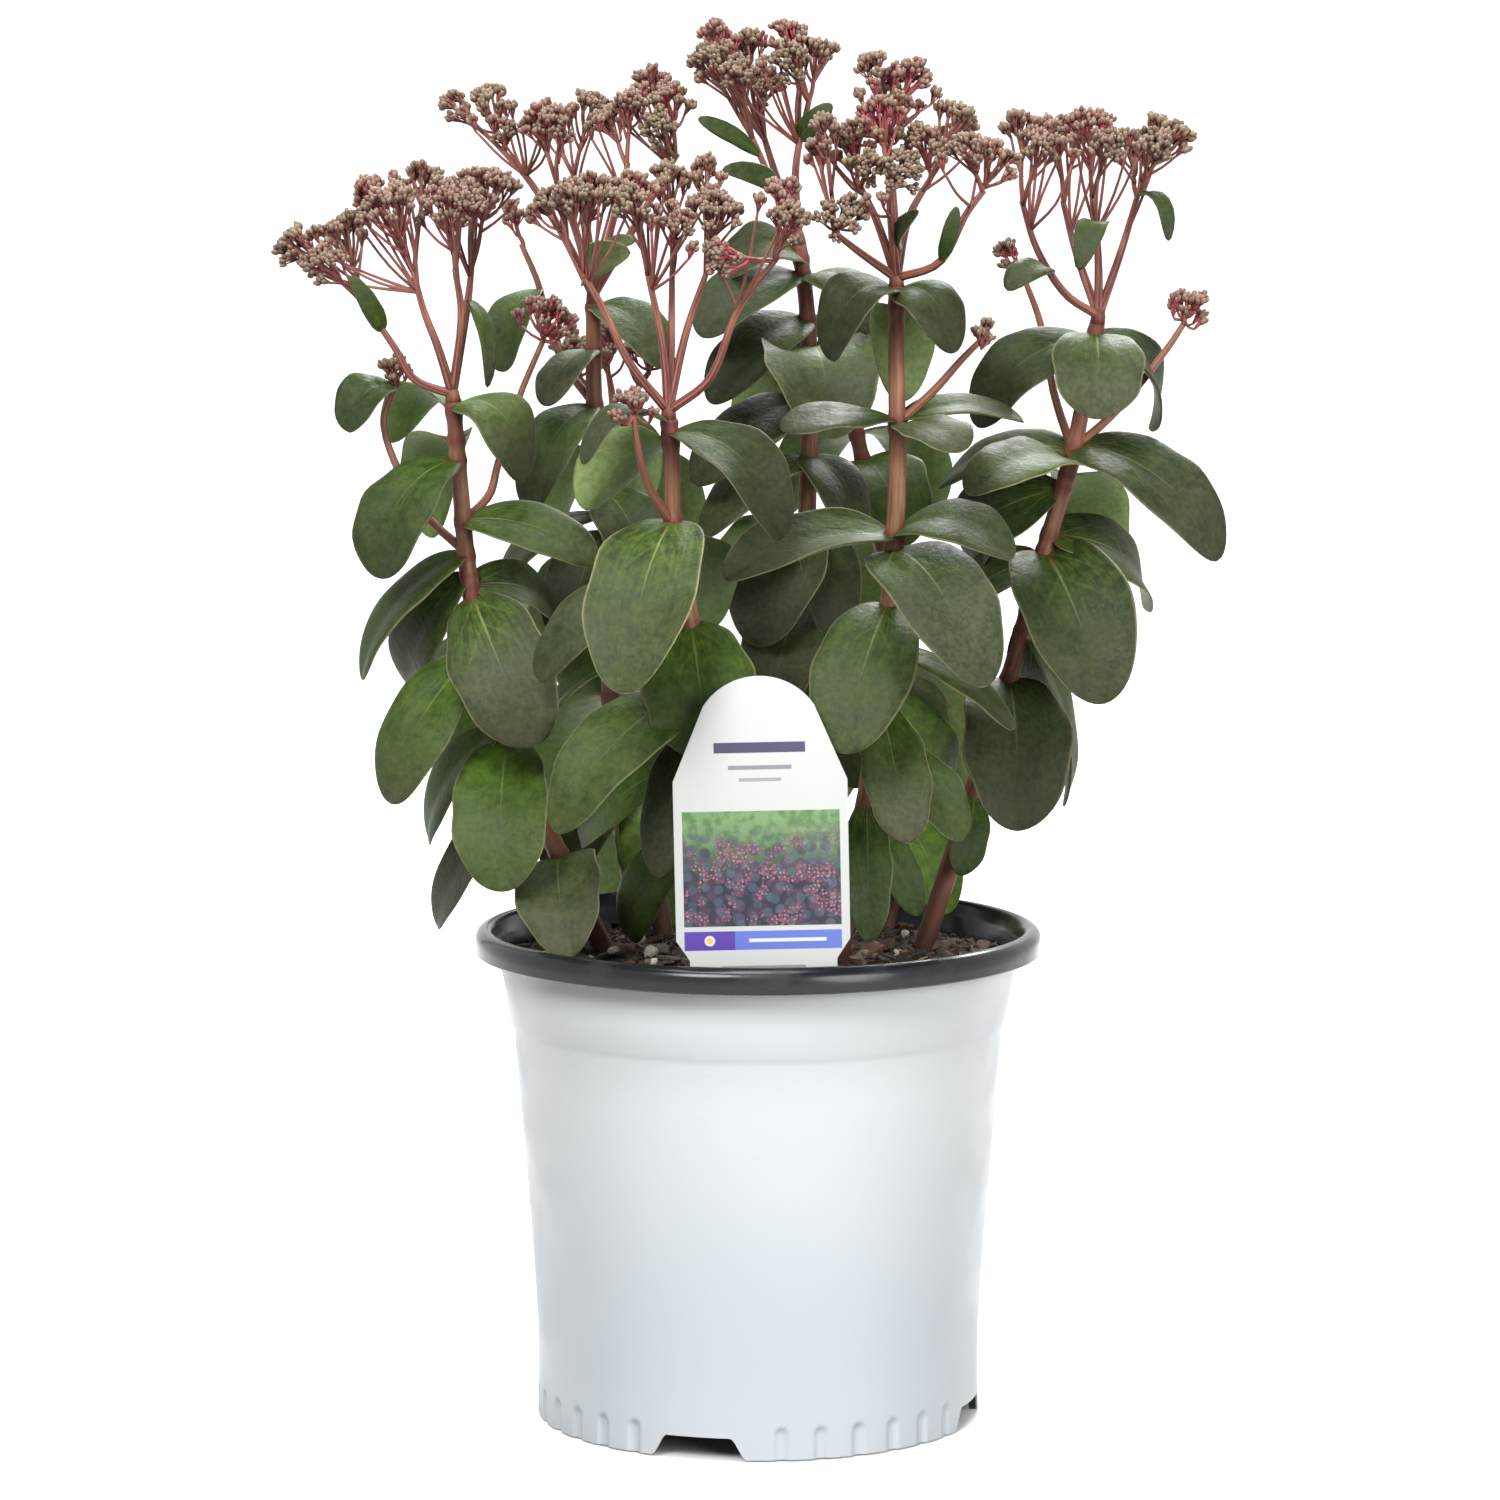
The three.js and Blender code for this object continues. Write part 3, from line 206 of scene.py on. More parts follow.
# The eight shoots, from places seen from the front: across, up, and the true depth.
# A leaf has its height on the stem, tip, width, turn, lift, arch and lobes. A spray's leaf starts with its
# share of the way along, and a head's leaf with its branch and share. Buds: a cluster's crown and its radius.
SHOOTS = [
  {
    "name": "left",
    "stem": [
      [-35, 116, -3], [-58, 165, -8], [-73.5, 200, -11], [-84.5, 245, -13], [-87.5, 275, -13],
      [-89.5, 301, -12],
    ],
    "leaves": [
      [300, [-68.7, 278.7, -25], 20, 25, 40, 0.4, 0.2],
      [298, [-108, 290, 14], 18, 200, 40, 0.3, 0.2],
      [284, [-112, 249.5, -30], 25, -32, 25, 0.24, 0.2],
      [266, [-47.5, 254.5, -27], 20, 5, 55, 0.12, 0.1],
      [256, [-118.5, 220.5, -17], 22, -60, 30, 0.12, 0.2],
      [244, [-66.5, 200.4, -43], 30, -8, 25, 0.14, 0.4],
      [247, [-60, 236, 10], 18, 30, 45, 0.2, 0.2],
      [228, [-109.8, 183, -24], 24, -22, 25, 0.15, 0.2],
      [205, [-98.4, 171.6, 9], 20, -60, 20, 0.12, 0.1],
      [201, [-75.5, 156, -40], 29, -10, 20, 0.13, 0.3],
      [184, [-97, 146, 6], 19, -50, 20, 0.1, 0.1],
      [166, [-56, 137.5, -50], 26, -12, 30, 0.14, 0.2],
      [290, [-96, 262, 22], 20, 200, 30, 0.25, 0.2],
      [232, [-84, 192, 30], 26, 190, 25, 0.2, 0.3],
      [250, [-103, 216, 4], 22, -30, 30, 0.15, 0.2],
    ],
    "sprays": [
      { "height": 257, "path": [[-98.5, 268.6, -9], [-107, 284, -4], [-110, 296, 0], [-105.7, 308, 2]],
        "buds": [[-107, 316, 2, 5.6]], "leaves": [[0.95, [-121, 293, -8], 16, -30, 20, 0.3, 0.2]] },
      { "height": 266, "path": [[-79, 274, -4], [-76.5, 283, 2], [-70, 303, 8], [-62.7, 320, 10]],
        "buds": [[-59, 332, 10, 9.6]] },
    ],
    "head": {
      "branches": [
        { "path": [[-94, 317.5, -16], [-98, 328, -18], [-101, 339.5, -20]],
          "buds": [[-110.5, 364, -28, 9.6], [-97, 371.5, -8, 7.3], [-116, 367, -12, 6.8]] },
        { "path": [[-87, 327, -16], [-88.8, 340, -20]], "buds": [[-92.5, 365, -24, 9], [-86, 366, 4, 9]] },
        { "path": [[-85, 331, -8], [-83.8, 341, -6]], "buds": [[-77, 370, -10, 9.6], [-84, 362, -34, 5.6]] },
        { "path": [[-101, 308, -16], [-106.5, 317, -18], [-116, 331, -18]],
          "buds": [[-139.5, 351, -16, 7.6], [-130.5, 345, -30, 6.6], [-123, 356, -12, 9.3]] },
      ],
      "leaves": [
        [[3, 0.8], [-119, 338, -30], 6, -20, 40, 0.1, 0.1],
        [[2, 0.5], [-79, 306, -22], 6, 30, 30, 0.2, 0.1],
      ],
    },
  },
  {
    "name": "centre_left",
    "stem": [
      [-13, 112, -26], [-17, 180, -36], [-20, 235, -41], [-24.8, 265, -43], [-25.3, 283, -43],
      [-26.2, 296, -43],
    ],
    "leaves": [
      [295, [-51.6, 283, -58], 15, -40, 62, 0.32, 0.1],
      [292, [7.5, 262, -60], 23, 28, 35, 0.26, 0.2],
      [289, [-51, 270, -20], 22, 190, 40, 0.2, 0.2],
      [266, [-40, 217.2, -92], 32, -10, 22, 0.13, 0.5],
      [262, [-14, 236, -14], 20, 150, 40, 0.2, 0.2],
      [247, [-65.5, 220, -52], 19, -35, 30, 0.2, 0.2],
      [236, [-15, 196, -60], 33, 3, 25, 0.13, 0.4],
      [214, [-60, 174, -66], 26, -28, 25, 0.16, 0.2],
      [205, [-30, 160, -50], 17, -15, 18, 0.1, 0.1],
      [196, [-53, 171, -4], 17, -40, 20, 0.1, 0.1],
      [176, [-40, 142, -8], 18, -30, 18, 0.12, 0.2],
    ],
    "sprays": [
      { "height": 265, "path": [[-32.5, 277, -52], [-35.3, 288, -58], [-36.7, 298, -62]],
        "buds": [[-37.5, 306, -64, 6.8]] },
    ],
    "head": {
      "branches": [
        { "path": [[-38, 313, -50], [-45.4, 328.6, -52], [-51.8, 339.5, -52]],
          "buds": [[-64.5, 363.5, -50, 7.3], [-55.5, 366, -62, 6.2], [-47.5, 369, -50, 7.7]] },
        { "path": [[-28, 318, -46], [-32.5, 339.5, -50]],
          "buds": [[-37, 369, -46, 6.8], [-38, 364, -62, 6.8]] },
        { "path": [[-25.5, 318, -42], [-25.2, 339.5, -40]],
          "buds": [[-26, 372, -36, 7], [-23.4, 358, -60, 6.3]] },
        { "path": [[-21, 322, -42], [-15, 339.5, -44]],
          "buds": [[-15.5, 374, -38, 5.9], [-11.5, 363, -54, 8.5]] },
        { "path": [[-14.2, 308, -48], [-6, 328, -52], [6, 344, -54]],
          "buds": [[8, 368, -56, 6.1], [11, 358.7, -66, 6.6], [-15, 343, -64, 6.8]] },
      ],
      "leaves": [],
    },
  },
  {
    "name": "back_left",
    "stem": [[-25, 120, 24], [-36, 200, 31], [-45, 268, 37], [-48, 300, 39], [-48.3, 330, 40]],
    "leaves": [
      [329, [-27, 311, 18], 18, 20, 35, 0.2, 0.2],
      [316, [-62, 300, 16], 16, -30, 30, 0.15, 0.2],
      [300, [-67.3, 269.6, 16], 20, -25, 30, 0.2, 0.2],
      [298, [-34, 272, 62], 22, 170, 30, 0.22, 0.2],
      [268, [-77, 248, 30], 18, -60, 30, 0.15, 0.2],
      [262, [-56, 228, 10], 22, -15, 30, 0.16, 0.2],
      [258, [-62, 222, 62], 24, 200, 25, 0.2, 0.3],
      [224, [-70, 182, 40], 24, -80, 25, 0.16, 0.2],
      [274, [-33, 252, 20], 22, 15, 30, 0.18, 0.3],
      [196, [-60, 158, 12], 22, -20, 20, 0.15, 0.2],
      [186, [-32, 152, 6], 18, 5, 20, 0.15, 0.2],
    ],
    "sprays": [
      { "height": 301, "path": [[-56, 311, 44], [-61, 322, 47], [-64.3, 335.6, 48], [-69.3, 347.4, 48]],
        "buds": [[-73, 360, 47, 4.5]], "leaves": [[0.72, [-75, 310, 30], 15, -30, 20, 0.2, 0.2]] },
    ],
    "head": {
      "branches": [
        { "path": [[-57, 350, 42], [-67, 366, 42], [-75, 375, 42]],
          "buds": [[-92.7, 391, 40, 5.4], [-80.3, 394, 44, 7.9], [-73, 384, 34, 4.5]] },
        { "path": [[-53, 350, 34], [-59, 365.5, 30]], "buds": [[-66, 388, 28, 7], [-57.5, 387, 20, 5.6]] },
        { "path": [[-50, 352, 48], [-54, 368, 54]], "buds": [[-48, 392, 52, 7.2], [-64, 389, 62, 6.8]] },
        { "path": [[-43, 352, 36], [-38, 371, 32]], "buds": [[-37, 393, 28, 6.3], [-45, 388, 36, 5.6]] },
        { "path": [[-34, 356, 42], [-23.5, 373.7, 40]],
          "buds": [[-32.5, 399, 46, 7.2], [-25.5, 394.5, 34, 6.6], [-31, 384, 24, 6.3]] },
      ],
      "leaves": [
        [[3, 0.2], [-36, 348, 24], 8, 10, 40, 0.2, 0.1],
        [[0, 0.1], [-38, 345, 20], 12, 10, 20, 0.15, 0.1],
      ],
    },
  },
  {
    "name": "back_centre",
    "stem": [[7, 120, 30], [12, 200, 40], [14.5, 272, 45], [15.2, 308, 46], [14.2, 329, 46], [12, 347, 46]],
    "leaves": [
      [343, [-11, 338, 34], 20, -20, 40, 0.32, 0.2],
      [338, [-17, 321, 20], 20, -15, 42, 0.14, 0.2],
      [337, [33, 322, 28], 18, 30, 40, 0.3, 0.2],
      [325, [-14, 301, 24], 20, -20, 30, 0.16, 0.2],
      [316, [22, 292, 6], 35, 5, 42, 0.2, 0.5],
      [314, [-4, 288, 70], 24, 170, 30, 0.22, 0.3],
      [284, [29, 262, 26], 20, 30, 30, 0.15, 0.2],
      [283, [-16, 262, 26], 20, -40, 35, 0.15, 0.2],
      [262, [-13, 248, 8], 20, -15, 38, 0.15, 0.2],
      [240, [2, 205, 4], 26, -8, 25, 0.15, 0.3],
      [226, [30, 188, 12], 24, 15, 25, 0.15, 0.2],
      [300, [-19, 278, 22], 20, -20, 30, 0.15, 0.2],
      [266, [-1, 230, 14], 27, -5, 25, 0.15, 0.3],
      [266, [22, 232, 22], 20, 25, 25, 0.15, 0.2],
    ],
    "sprays": [],
    "head": {
      "branches": [
        { "path": [[4.6, 364, 44], [-2, 379, 42]],
          "buds": [[-13.7, 412, 46, 7], [-17.4, 405, 34, 7.5], [-7, 401, 26, 6.6]] },
        { "path": [[5, 368, 54], [0, 384, 58]],
          "buds": [[-5, 410, 54, 7.2], [-12, 404, 66, 6.8], [3, 396, 44, 6]] },
        { "path": [[11, 370, 46], [15, 390, 44]],
          "buds": [[7, 413, 46, 6.8], [7.2, 405, 32, 7.2], [19, 408, 44, 6.6]] },
      ],
      "leaves": [
        [[0, 0.4], [-10.5, 369, 30], 8, -10, 30, 0.2, 0.1],
        [[0, 0.8], [-17.5, 384, 34], 6, -20, 30, 0.1, 0.1],
        [[2, 0.7], [21.5, 388, 38], 7, 20, 30, 0.15, 0.1],
      ],
    },
  },
  {
    "name": "centre_right",
    "stem": [
      [20, 114, -18], [33, 190, -26], [40, 259, -31], [41, 285, -31], [40.6, 308, -31], [40.5, 335, -31],
    ],
    "leaves": [
      [334, [21.2, 313.7, -42], 18, -25, 34, 0.4, 0.2],
      [334, [57.9, 316.5, -46], 19, 22, 32, 0.3, 0.2],
      [329, [42, 302, -8], 19, 170, 35, 0.2, 0.1],
      [296, [7, 293, -48], 19, 0, 70, 0.08, 0.1],
      [294, [60, 287.5, -58], 19, 10, 66, 0.1, 0.1],
      [296, [78, 296, -22], 16, 20, 72, 0.1, 0.1],
      [261, [-9.8, 249, -50], 23, -12, 62, 0.1, 0.1],
      [262, [75, 256, -48], 25, 25, 50, 0.2, 0.2],
      [257, [66.5, 218, -86], 31, 12, 25, 0.14, 0.5],
      [239, [25, 197.6, -66], 30, -8, 22, 0.13, 0.5],
      [226, [76, 205, -38], 15, 50, 60, 0.1, 0.1],
      [221, [52, 200, -10], 20, 120, 35, 0.15, 0.2],
      [211, [44.2, 171, -54], 20, 5, 15, 0.1, 0.2],
      [200, [61, 172, -30], 18, 30, 20, 0.1, 0.1],
      [183, [33, 141, -42], 14, 0, 18, 0.1, 0.1],
      [178, [48, 149, -26], 13, 10, 20, 0.1, 0.1],
      [214, [54, 184, -6], 20, 20, 20, 0.15, 0.2],
    ],
    "sprays": [
      { "height": 295, "path": [[52, 305, -33], [60, 314, -34], [66, 320, -34]],
        "buds": [[67, 326, -34, 4]] },
    ],
    "head": {
      "branches": [
        { "path": [[29.7, 345, -38], [22, 351, -44]],
          "buds": [[26, 358, -58, 7.9], [16.5, 378, -36, 5], [19, 385, -46, 5.9]] },
        { "path": [[34.3, 355, -34], [29.7, 364.5, -36]],
          "buds": [[26, 382, -30, 7.2], [34, 372, -56, 5.6]] },
        { "path": [[39.5, 360, -26], [37.2, 384, -26]],
          "buds": [[32.5, 404, -26, 5.4], [39.5, 398, -20, 4.5], [49, 401, -28, 6.3]] },
        { "path": [[39, 352, -40], [38, 364, -46]], "buds": [[34.7, 391, -42, 7.5], [44, 371, -62, 7.5]] },
        { "path": [[44, 355, -30], [50.6, 367, -28]], "buds": [[46.5, 383, -34, 7], [60, 388, -20, 9]] },
        { "path": [[53, 342, -38], [61, 356.4, -42], [66, 363, -42]],
          "buds": [[58.7, 380, -50, 6.6], [71.5, 377, -38, 7.7]] },
      ],
      "leaves": [
        [[4, 0.25], [47, 357, -48], 6, 10, 30, 0.15, 0.1],
        [[5, 0.35], [58, 358, -50], 5, 10, 30, 0.15, 0.1],
      ],
    },
  },
  {
    "name": "right",
    "stem": [[42, 117, 4], [62, 180, 4], [74, 219, 4], [84, 256, 3], [92.5, 286.5, 2], [99.3, 324, 2]],
    "leaves": [
      [321, [99.5, 296.8, -26], 27, 3, 27, 0.16, 0.6],
      [320, [116, 294, 14], 22, 70, 25, 0.25, 0.2],
      [319, [63.6, 295, -8], 21, -28, 32, 0.24, 0.2],
      [288, [136, 255.3, -16], 25, 22, 40, 0.2, 0.2],
      [284, [62, 274.5, -30], 23, -10, 55, 0.12, 0.2],
      [287, [53, 277, 18], 20, 0, 55, 0.15, 0.1],
      [262, [114, 241, 26], 24, 60, 32, 0.2, 0.2],
      [257, [102.5, 213, -32], 33, 6, 18, 0.12, 0.5],
      [254, [60, 236, 14], 20, -50, 35, 0.2, 0.2],
      [233, [92, 182, 12], 20, 70, 15, 0.1, 0.1],
      [219, [77, 175.7, -34], 32, 5, 20, 0.13, 0.5],
      [186, [60, 161, -6], 12, 20, 25, 0.1, 0.1],
      [280, [98, 246, 44], 24, 160, 25, 0.22, 0.2],
      [276, [60, 256, 30], 26, -10, 30, 0.2, 0.3],
      [240, [76, 212, 34], 20, 10, 25, 0.15, 0.2],
    ],
    "sprays": [
      { "height": 288, "path": [[105.5, 299, 4], [120, 317, 5], [125, 324.6, 5]],
        "buds": [[128, 334.6, 5, 7.5]] },
      { "height": 287, "path": [[87, 303, 12], [82.5, 325, 18], [78.2, 336.6, 20]],
        "buds": [[70.5, 349, 20, 4.7]] },
    ],
    "head": {
      "branches": [
        { "path": [[89.8, 333, -6], [81.5, 346, -8], [77, 360, -8]],
          "buds": [[76.5, 386.6, -4, 6.3], [84, 380, -22, 6.1]] },
        { "path": [[93, 345, 10], [89, 360, 14]], "buds": [[86.6, 386, 12, 7], [94, 384, 28, 7.2]] },
        { "path": [[99.4, 345, 0], [97.5, 362, -4]], "buds": [[96.2, 387, -6, 8.6], [103, 380, -22, 6.3]] },
        { "path": [[106.4, 346, 4], [111, 362, 6]],
          "buds": [[108, 381, 12, 6.3], [117, 381, -4, 6.8], [121.8, 384, 14, 9.3]] },
      ],
      "leaves": [
        [[2, 0.65], [94, 340, -22], 9, 0, 40, 0.35, 0.2],
        [[3, 0.98], [120, 348.3, -10], 6, 30, 40, 0.3, 0.1],
        [[0, 0.5], [73, 334, -24], 11, -10, 40, 0.2, 0.2],
      ],
    },
  },
  {
    "name": "hind_left",
    "stem": [[-31, 120, 46], [-42, 190, 60], [-44, 250, 67], [-42, 288, 70]],
    "leaves": [
      [286, [-64, 258, 84], 22, 210, 35, 0.25, 0.2],
      [286, [-20, 260, 86], 22, 150, 35, 0.25, 0.2],
      [256, [-52, 212, 92], 28, 185, 25, 0.18, 0.4],
      [250, [-78, 218, 86], 22, -80, 35, 0.2, 0.2],
      [226, [-18, 186, 88], 26, 160, 25, 0.18, 0.3],
      [214, [-74, 172, 84], 26, 215, 25, 0.18, 0.3],
      [190, [-46, 150, 88], 22, 180, 25, 0.15, 0.2],
      [176, [-22, 146, 40], 20, 10, 20, 0.15, 0.2],
    ],
    "sprays": [],
    "head": {
      "branches": [
        { "path": [[-48, 302, 66], [-52, 308, 64]], "buds": [[-55, 321, 58, 7.9]] },
        { "path": [[-43, 304, 76], [-44, 310, 80]], "buds": [[-45, 326, 76, 7.9], [-50, 320, 90, 6.8]] },
        { "path": [[-36, 304, 68], [-32, 310, 68]], "buds": [[-34, 322, 62, 6.8], [-28, 321, 76, 6.8]] },
      ],
      "leaves": [],
    },
  },
  {
    "name": "hind_right",
    "stem": [[33, 120, 42], [44, 190, 56], [38, 250, 64], [28, 296, 68]],
    "leaves": [
      [292, [8, 268, 90], 22, 200, 35, 0.25, 0.2],
      [292, [52, 270, 84], 22, 140, 35, 0.25, 0.2],
      [262, [30, 218, 92], 28, 175, 25, 0.18, 0.4],
      [254, [68, 226, 60], 22, 100, 35, 0.2, 0.2],
      [228, [64, 184, 84], 26, 150, 25, 0.18, 0.3],
      [216, [12, 172, 86], 32, 200, 25, 0.18, 0.3],
      [188, [44, 150, 84], 22, 180, 25, 0.15, 0.2],
      [284, [44, 260, 44], 26, 10, 25, 0.2, 0.3],
      [176, [56, 150, 26], 18, 10, 20, 0.15, 0.2],
      [180, [24, 146, 40], 20, -10, 20, 0.15, 0.2],
    ],
    "sprays": [],
    "head": {
      "branches": [
        { "path": [[22, 308, 64], [18, 314, 62]], "buds": [[14, 327, 56, 7.9]] },
        { "path": [[26, 310, 76], [25, 317, 79]], "buds": [[24, 332, 74, 7.9], [18, 326, 88, 6.8]] },
        { "path": [[32, 310, 68], [35, 316, 68]], "buds": [[34, 328, 62, 6.8], [37, 327, 77, 6.8]] },
      ],
      "leaves": [],
    },
  },
]

# Lines and places


def seen(place):
    """A place as seen from the front, on the upright plane through the pot's axis, carried to its depth."""
    x, z, y = place
    return EYE + (Vector((x, 0, z)) - EYE) * ((y - EYE.y) / -EYE.y)


def seen_height(place):
    """How high a place looks from the front, on the upright plane through the pot's axis."""
    return EYE.z + (place.z - EYE.z) * -EYE.y / (place.y - EYE.y)


class Line:
    """A smooth line through places, read by a share from 0 to 1."""

    def __init__(self, places):
        first = 2 * places[0] - places[1]
        last = 2 * places[-1] - places[-2]
        self.places = [first, *places, last]
        self.spans = len(places) - 1

    def at(self, share):
        span = min(int(share * self.spans), self.spans - 1)
        w = share * self.spans - span
        a, b, c, d = self.places[span:span + 4]
        step_in, step, step_out = ((q - p).length ** 0.5 for p, q in ((a, b), (b, c), (c, d)))
        leave = ((b - a) / step_in - (c - a) / (step_in + step) + (c - b) / step) * step
        reach = ((c - b) / step - (d - b) / (step + step_out) + (d - c) / step_out) * step
        bend = 3 * (c - b) - 2 * leave - reach
        twist = 2 * (b - c) + leave + reach
        return b + leave * w + bend * w * w + twist * w ** 3

    def run(self, steps):
        return [self.at(k / steps) for k in range(steps + 1)]


def on_stem(stem, height, tip):
    """Where a leaf or spray leaves a stem: a little out from its axis, at a height as seen from the front."""
    upper = max(1, next(i for i, place in enumerate(stem) if place[1] >= height))
    low, high = stem[upper - 1][1], stem[upper][1]
    share = (upper - 1 + (height - low) / (high - low)) / (len(stem) - 1)
    axis = Line([seen(place) for place in stem]).at(share)
    out = (tip - axis) * Vector((1, 1, 0))
    return axis + out.normalized() * LEAF_ROOT


def neck_of(shoot):
    """The last place of a stem, the fork above it and the neck's top."""
    line = Line([seen(place) for place in shoot["stem"]])
    end = line.at(1)
    way = (end - line.at(0.98)).normalized()
    return end, end + way * NECK_FORK, end + way * NECK_LENGTH


def branch_line(foot, branch):
    return Line([foot] + [seen(place) for place in branch["path"]])


def facing(turn, lift):
    """Which way a leaf's upper face looks: degrees from the front towards +X, and above level."""
    a, b = math.radians(turn), math.radians(lift)
    return Vector((math.sin(a) * math.cos(b), -math.cos(a) * math.cos(b), math.sin(b)))


def outward(angle):
    return Vector((math.cos(angle), math.sin(angle), 0))


def turned_up_to(way):
    """The turn that takes +Z to a way."""
    return UP.rotation_difference(way).to_matrix()


def smooth(value, low, high):
    share = min(max((value - low) / (high - low), 0), 1)
    return share * share * (3 - 2 * share)


def small(chance, size):
    """A short step in a random way."""
    return Vector([chance.gauss(0, size) for _ in range(3)])


# Making pieces


def new_piece():
    """An empty mesh in the making, with the two layers that its material reads."""
    bm = bmesh.new()
    bm.verts.layers.float_vector.new("growth")
    bm.verts.layers.float_vector.new("tone")
    return bm


def mark(bm, verts, growth, tone=(0, 0, 0)):
    """Writes what the material reads: growth, as a vector or worked out from each corner, and tone."""
    growths, tones = (bm.verts.layers.float_vector[name] for name in ("growth", "tone"))
    for v in verts:
        v[growths] = growth(v) if callable(growth) else growth
        v[tones] = tone


def mesh_of(bm, name):
    mesh = bpy.data.meshes.new(name)
    bm.to_mesh(mesh)
    bm.free()
    return mesh


def placed(name, bm, material, sharp=None):
    """The piece in metres, in the scene, with its edges over an angle kept sharp."""
    bmesh.ops.recalc_face_normals(bm, faces=bm.faces)
    mesh = mesh_of(bm, name)
    mesh.transform(Matrix.Scale(MM, 4))
    mesh.shade_smooth()
    if sharp is not None:
        mesh.set_sharp_from_angle(angle=math.radians(sharp))
    mesh.materials.append(material)
    piece = bpy.data.objects.new(name, mesh)
    bpy.context.scene.collection.objects.link(piece)
    return piece


def finished(name, bm, material, replaces=(), sharp=None):
    """The piece, riding on the pot's body, in place of the solids that it shows."""
    piece = placed(name, bm, material, sharp)
    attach(piece, "root")
    if replaces:
        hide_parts(*replaces)


def stamp(bm, template, matrix, tone):
    """Adds a copy of a small template, which keeps its own growth."""
    copy = template.copy()
    copy.transform(matrix)
    copy.attributes["tone"].data.foreach_set("vector", tone * len(copy.vertices))
    bm.from_mesh(copy)
    bpy.data.meshes.remove(copy)


def join_part(bm, part):
    """Adds a part that was made on its own, which is quicker than growing it inside a large mesh."""
    mesh = mesh_of(part, "part")
    bm.from_mesh(mesh)
    bpy.data.meshes.remove(mesh)


def aimed(place, way, scale=(1, 1, 1), roll=0):
    """The matrix that takes a shape standing along +Z to a place and a way."""
    turn = turned_up_to(way).to_4x4() @ Matrix.Rotation(roll, 4, "Z")
    return Matrix.Translation(place) @ turn @ Matrix.Diagonal((*scale, 1))


def spun(bm, profile, steps):
    """Spins radius and height pairs about +Z. A profile that starts off the axis closes on itself."""
    verts = [bm.verts.new((radius, 0, height)) for radius, height in profile]
    edges = [bm.edges.new(pair) for pair in zip(verts, verts[1:])]
    if profile[0][0] > 0:
        edges.append(bm.edges.new((verts[-1], verts[0])))
    bmesh.ops.spin(
        bm, geom=verts + edges, cent=(0, 0, 0), axis=UP, angle=FULL_TURN, steps=steps, use_merge=True)
    bmesh.ops.remove_doubles(bm, verts=bm.verts, dist=WELD)


def grow_tube(bm, places, radii, sides):
    """A closed tube through places: a circle carried on from place to place. Its corners come back."""
    ends = [places[0], *places, places[-1]]
    ways = [(beyond - before).normalized() for before, beyond in zip(ends, ends[2:])]
    ring = bmesh.ops.create_circle(bm, cap_ends=False, radius=1, segments=sides)["verts"]
    first = list(dict.fromkeys(edge for v in ring for edge in v.link_edges))
    edges = first
    turn = turned_up_to(ways[0])
    pose = Matrix.Translation(places[0]) @ turn.to_4x4() @ Matrix.Scale(radii[0], 4)
    bmesh.ops.transform(bm, matrix=pose, verts=ring)
    corners = list(ring)
    for place, way, last_way, radius in zip(places[1:], ways[1:], ways, radii[1:]):
        grown = bmesh.ops.extrude_edge_only(bm, edges=edges)["geom"]
        ring = [item for item in grown if isinstance(item, bmesh.types.BMVert)]
        fresh = set(ring)
        made = [item for item in grown if isinstance(item, bmesh.types.BMEdge)]
        edges = [edge for edge in made if fresh.issuperset(edge.verts)]
        turn = last_way.rotation_difference(way).to_matrix() @ turn
        next_pose = Matrix.Translation(place) @ turn.to_4x4() @ Matrix.Scale(radius, 4)
        bmesh.ops.transform(bm, matrix=next_pose @ pose.inverted(), verts=ring)
        pose = next_pose
        corners += ring
    bmesh.ops.edgeloop_fill(bm, edges=first)
    bmesh.ops.edgeloop_fill(bm, edges=edges)
    return corners


# Materials


def rgb(red, green, blue):
    """A colour as it shows on a screen, from 0 to 255, brought to the linear values that a shader takes."""
    return (*(((c / 255 + 0.055) / 1.055) ** 2.4 if c > 10 else c / 3294 for c in (red, green, blue)), 1)


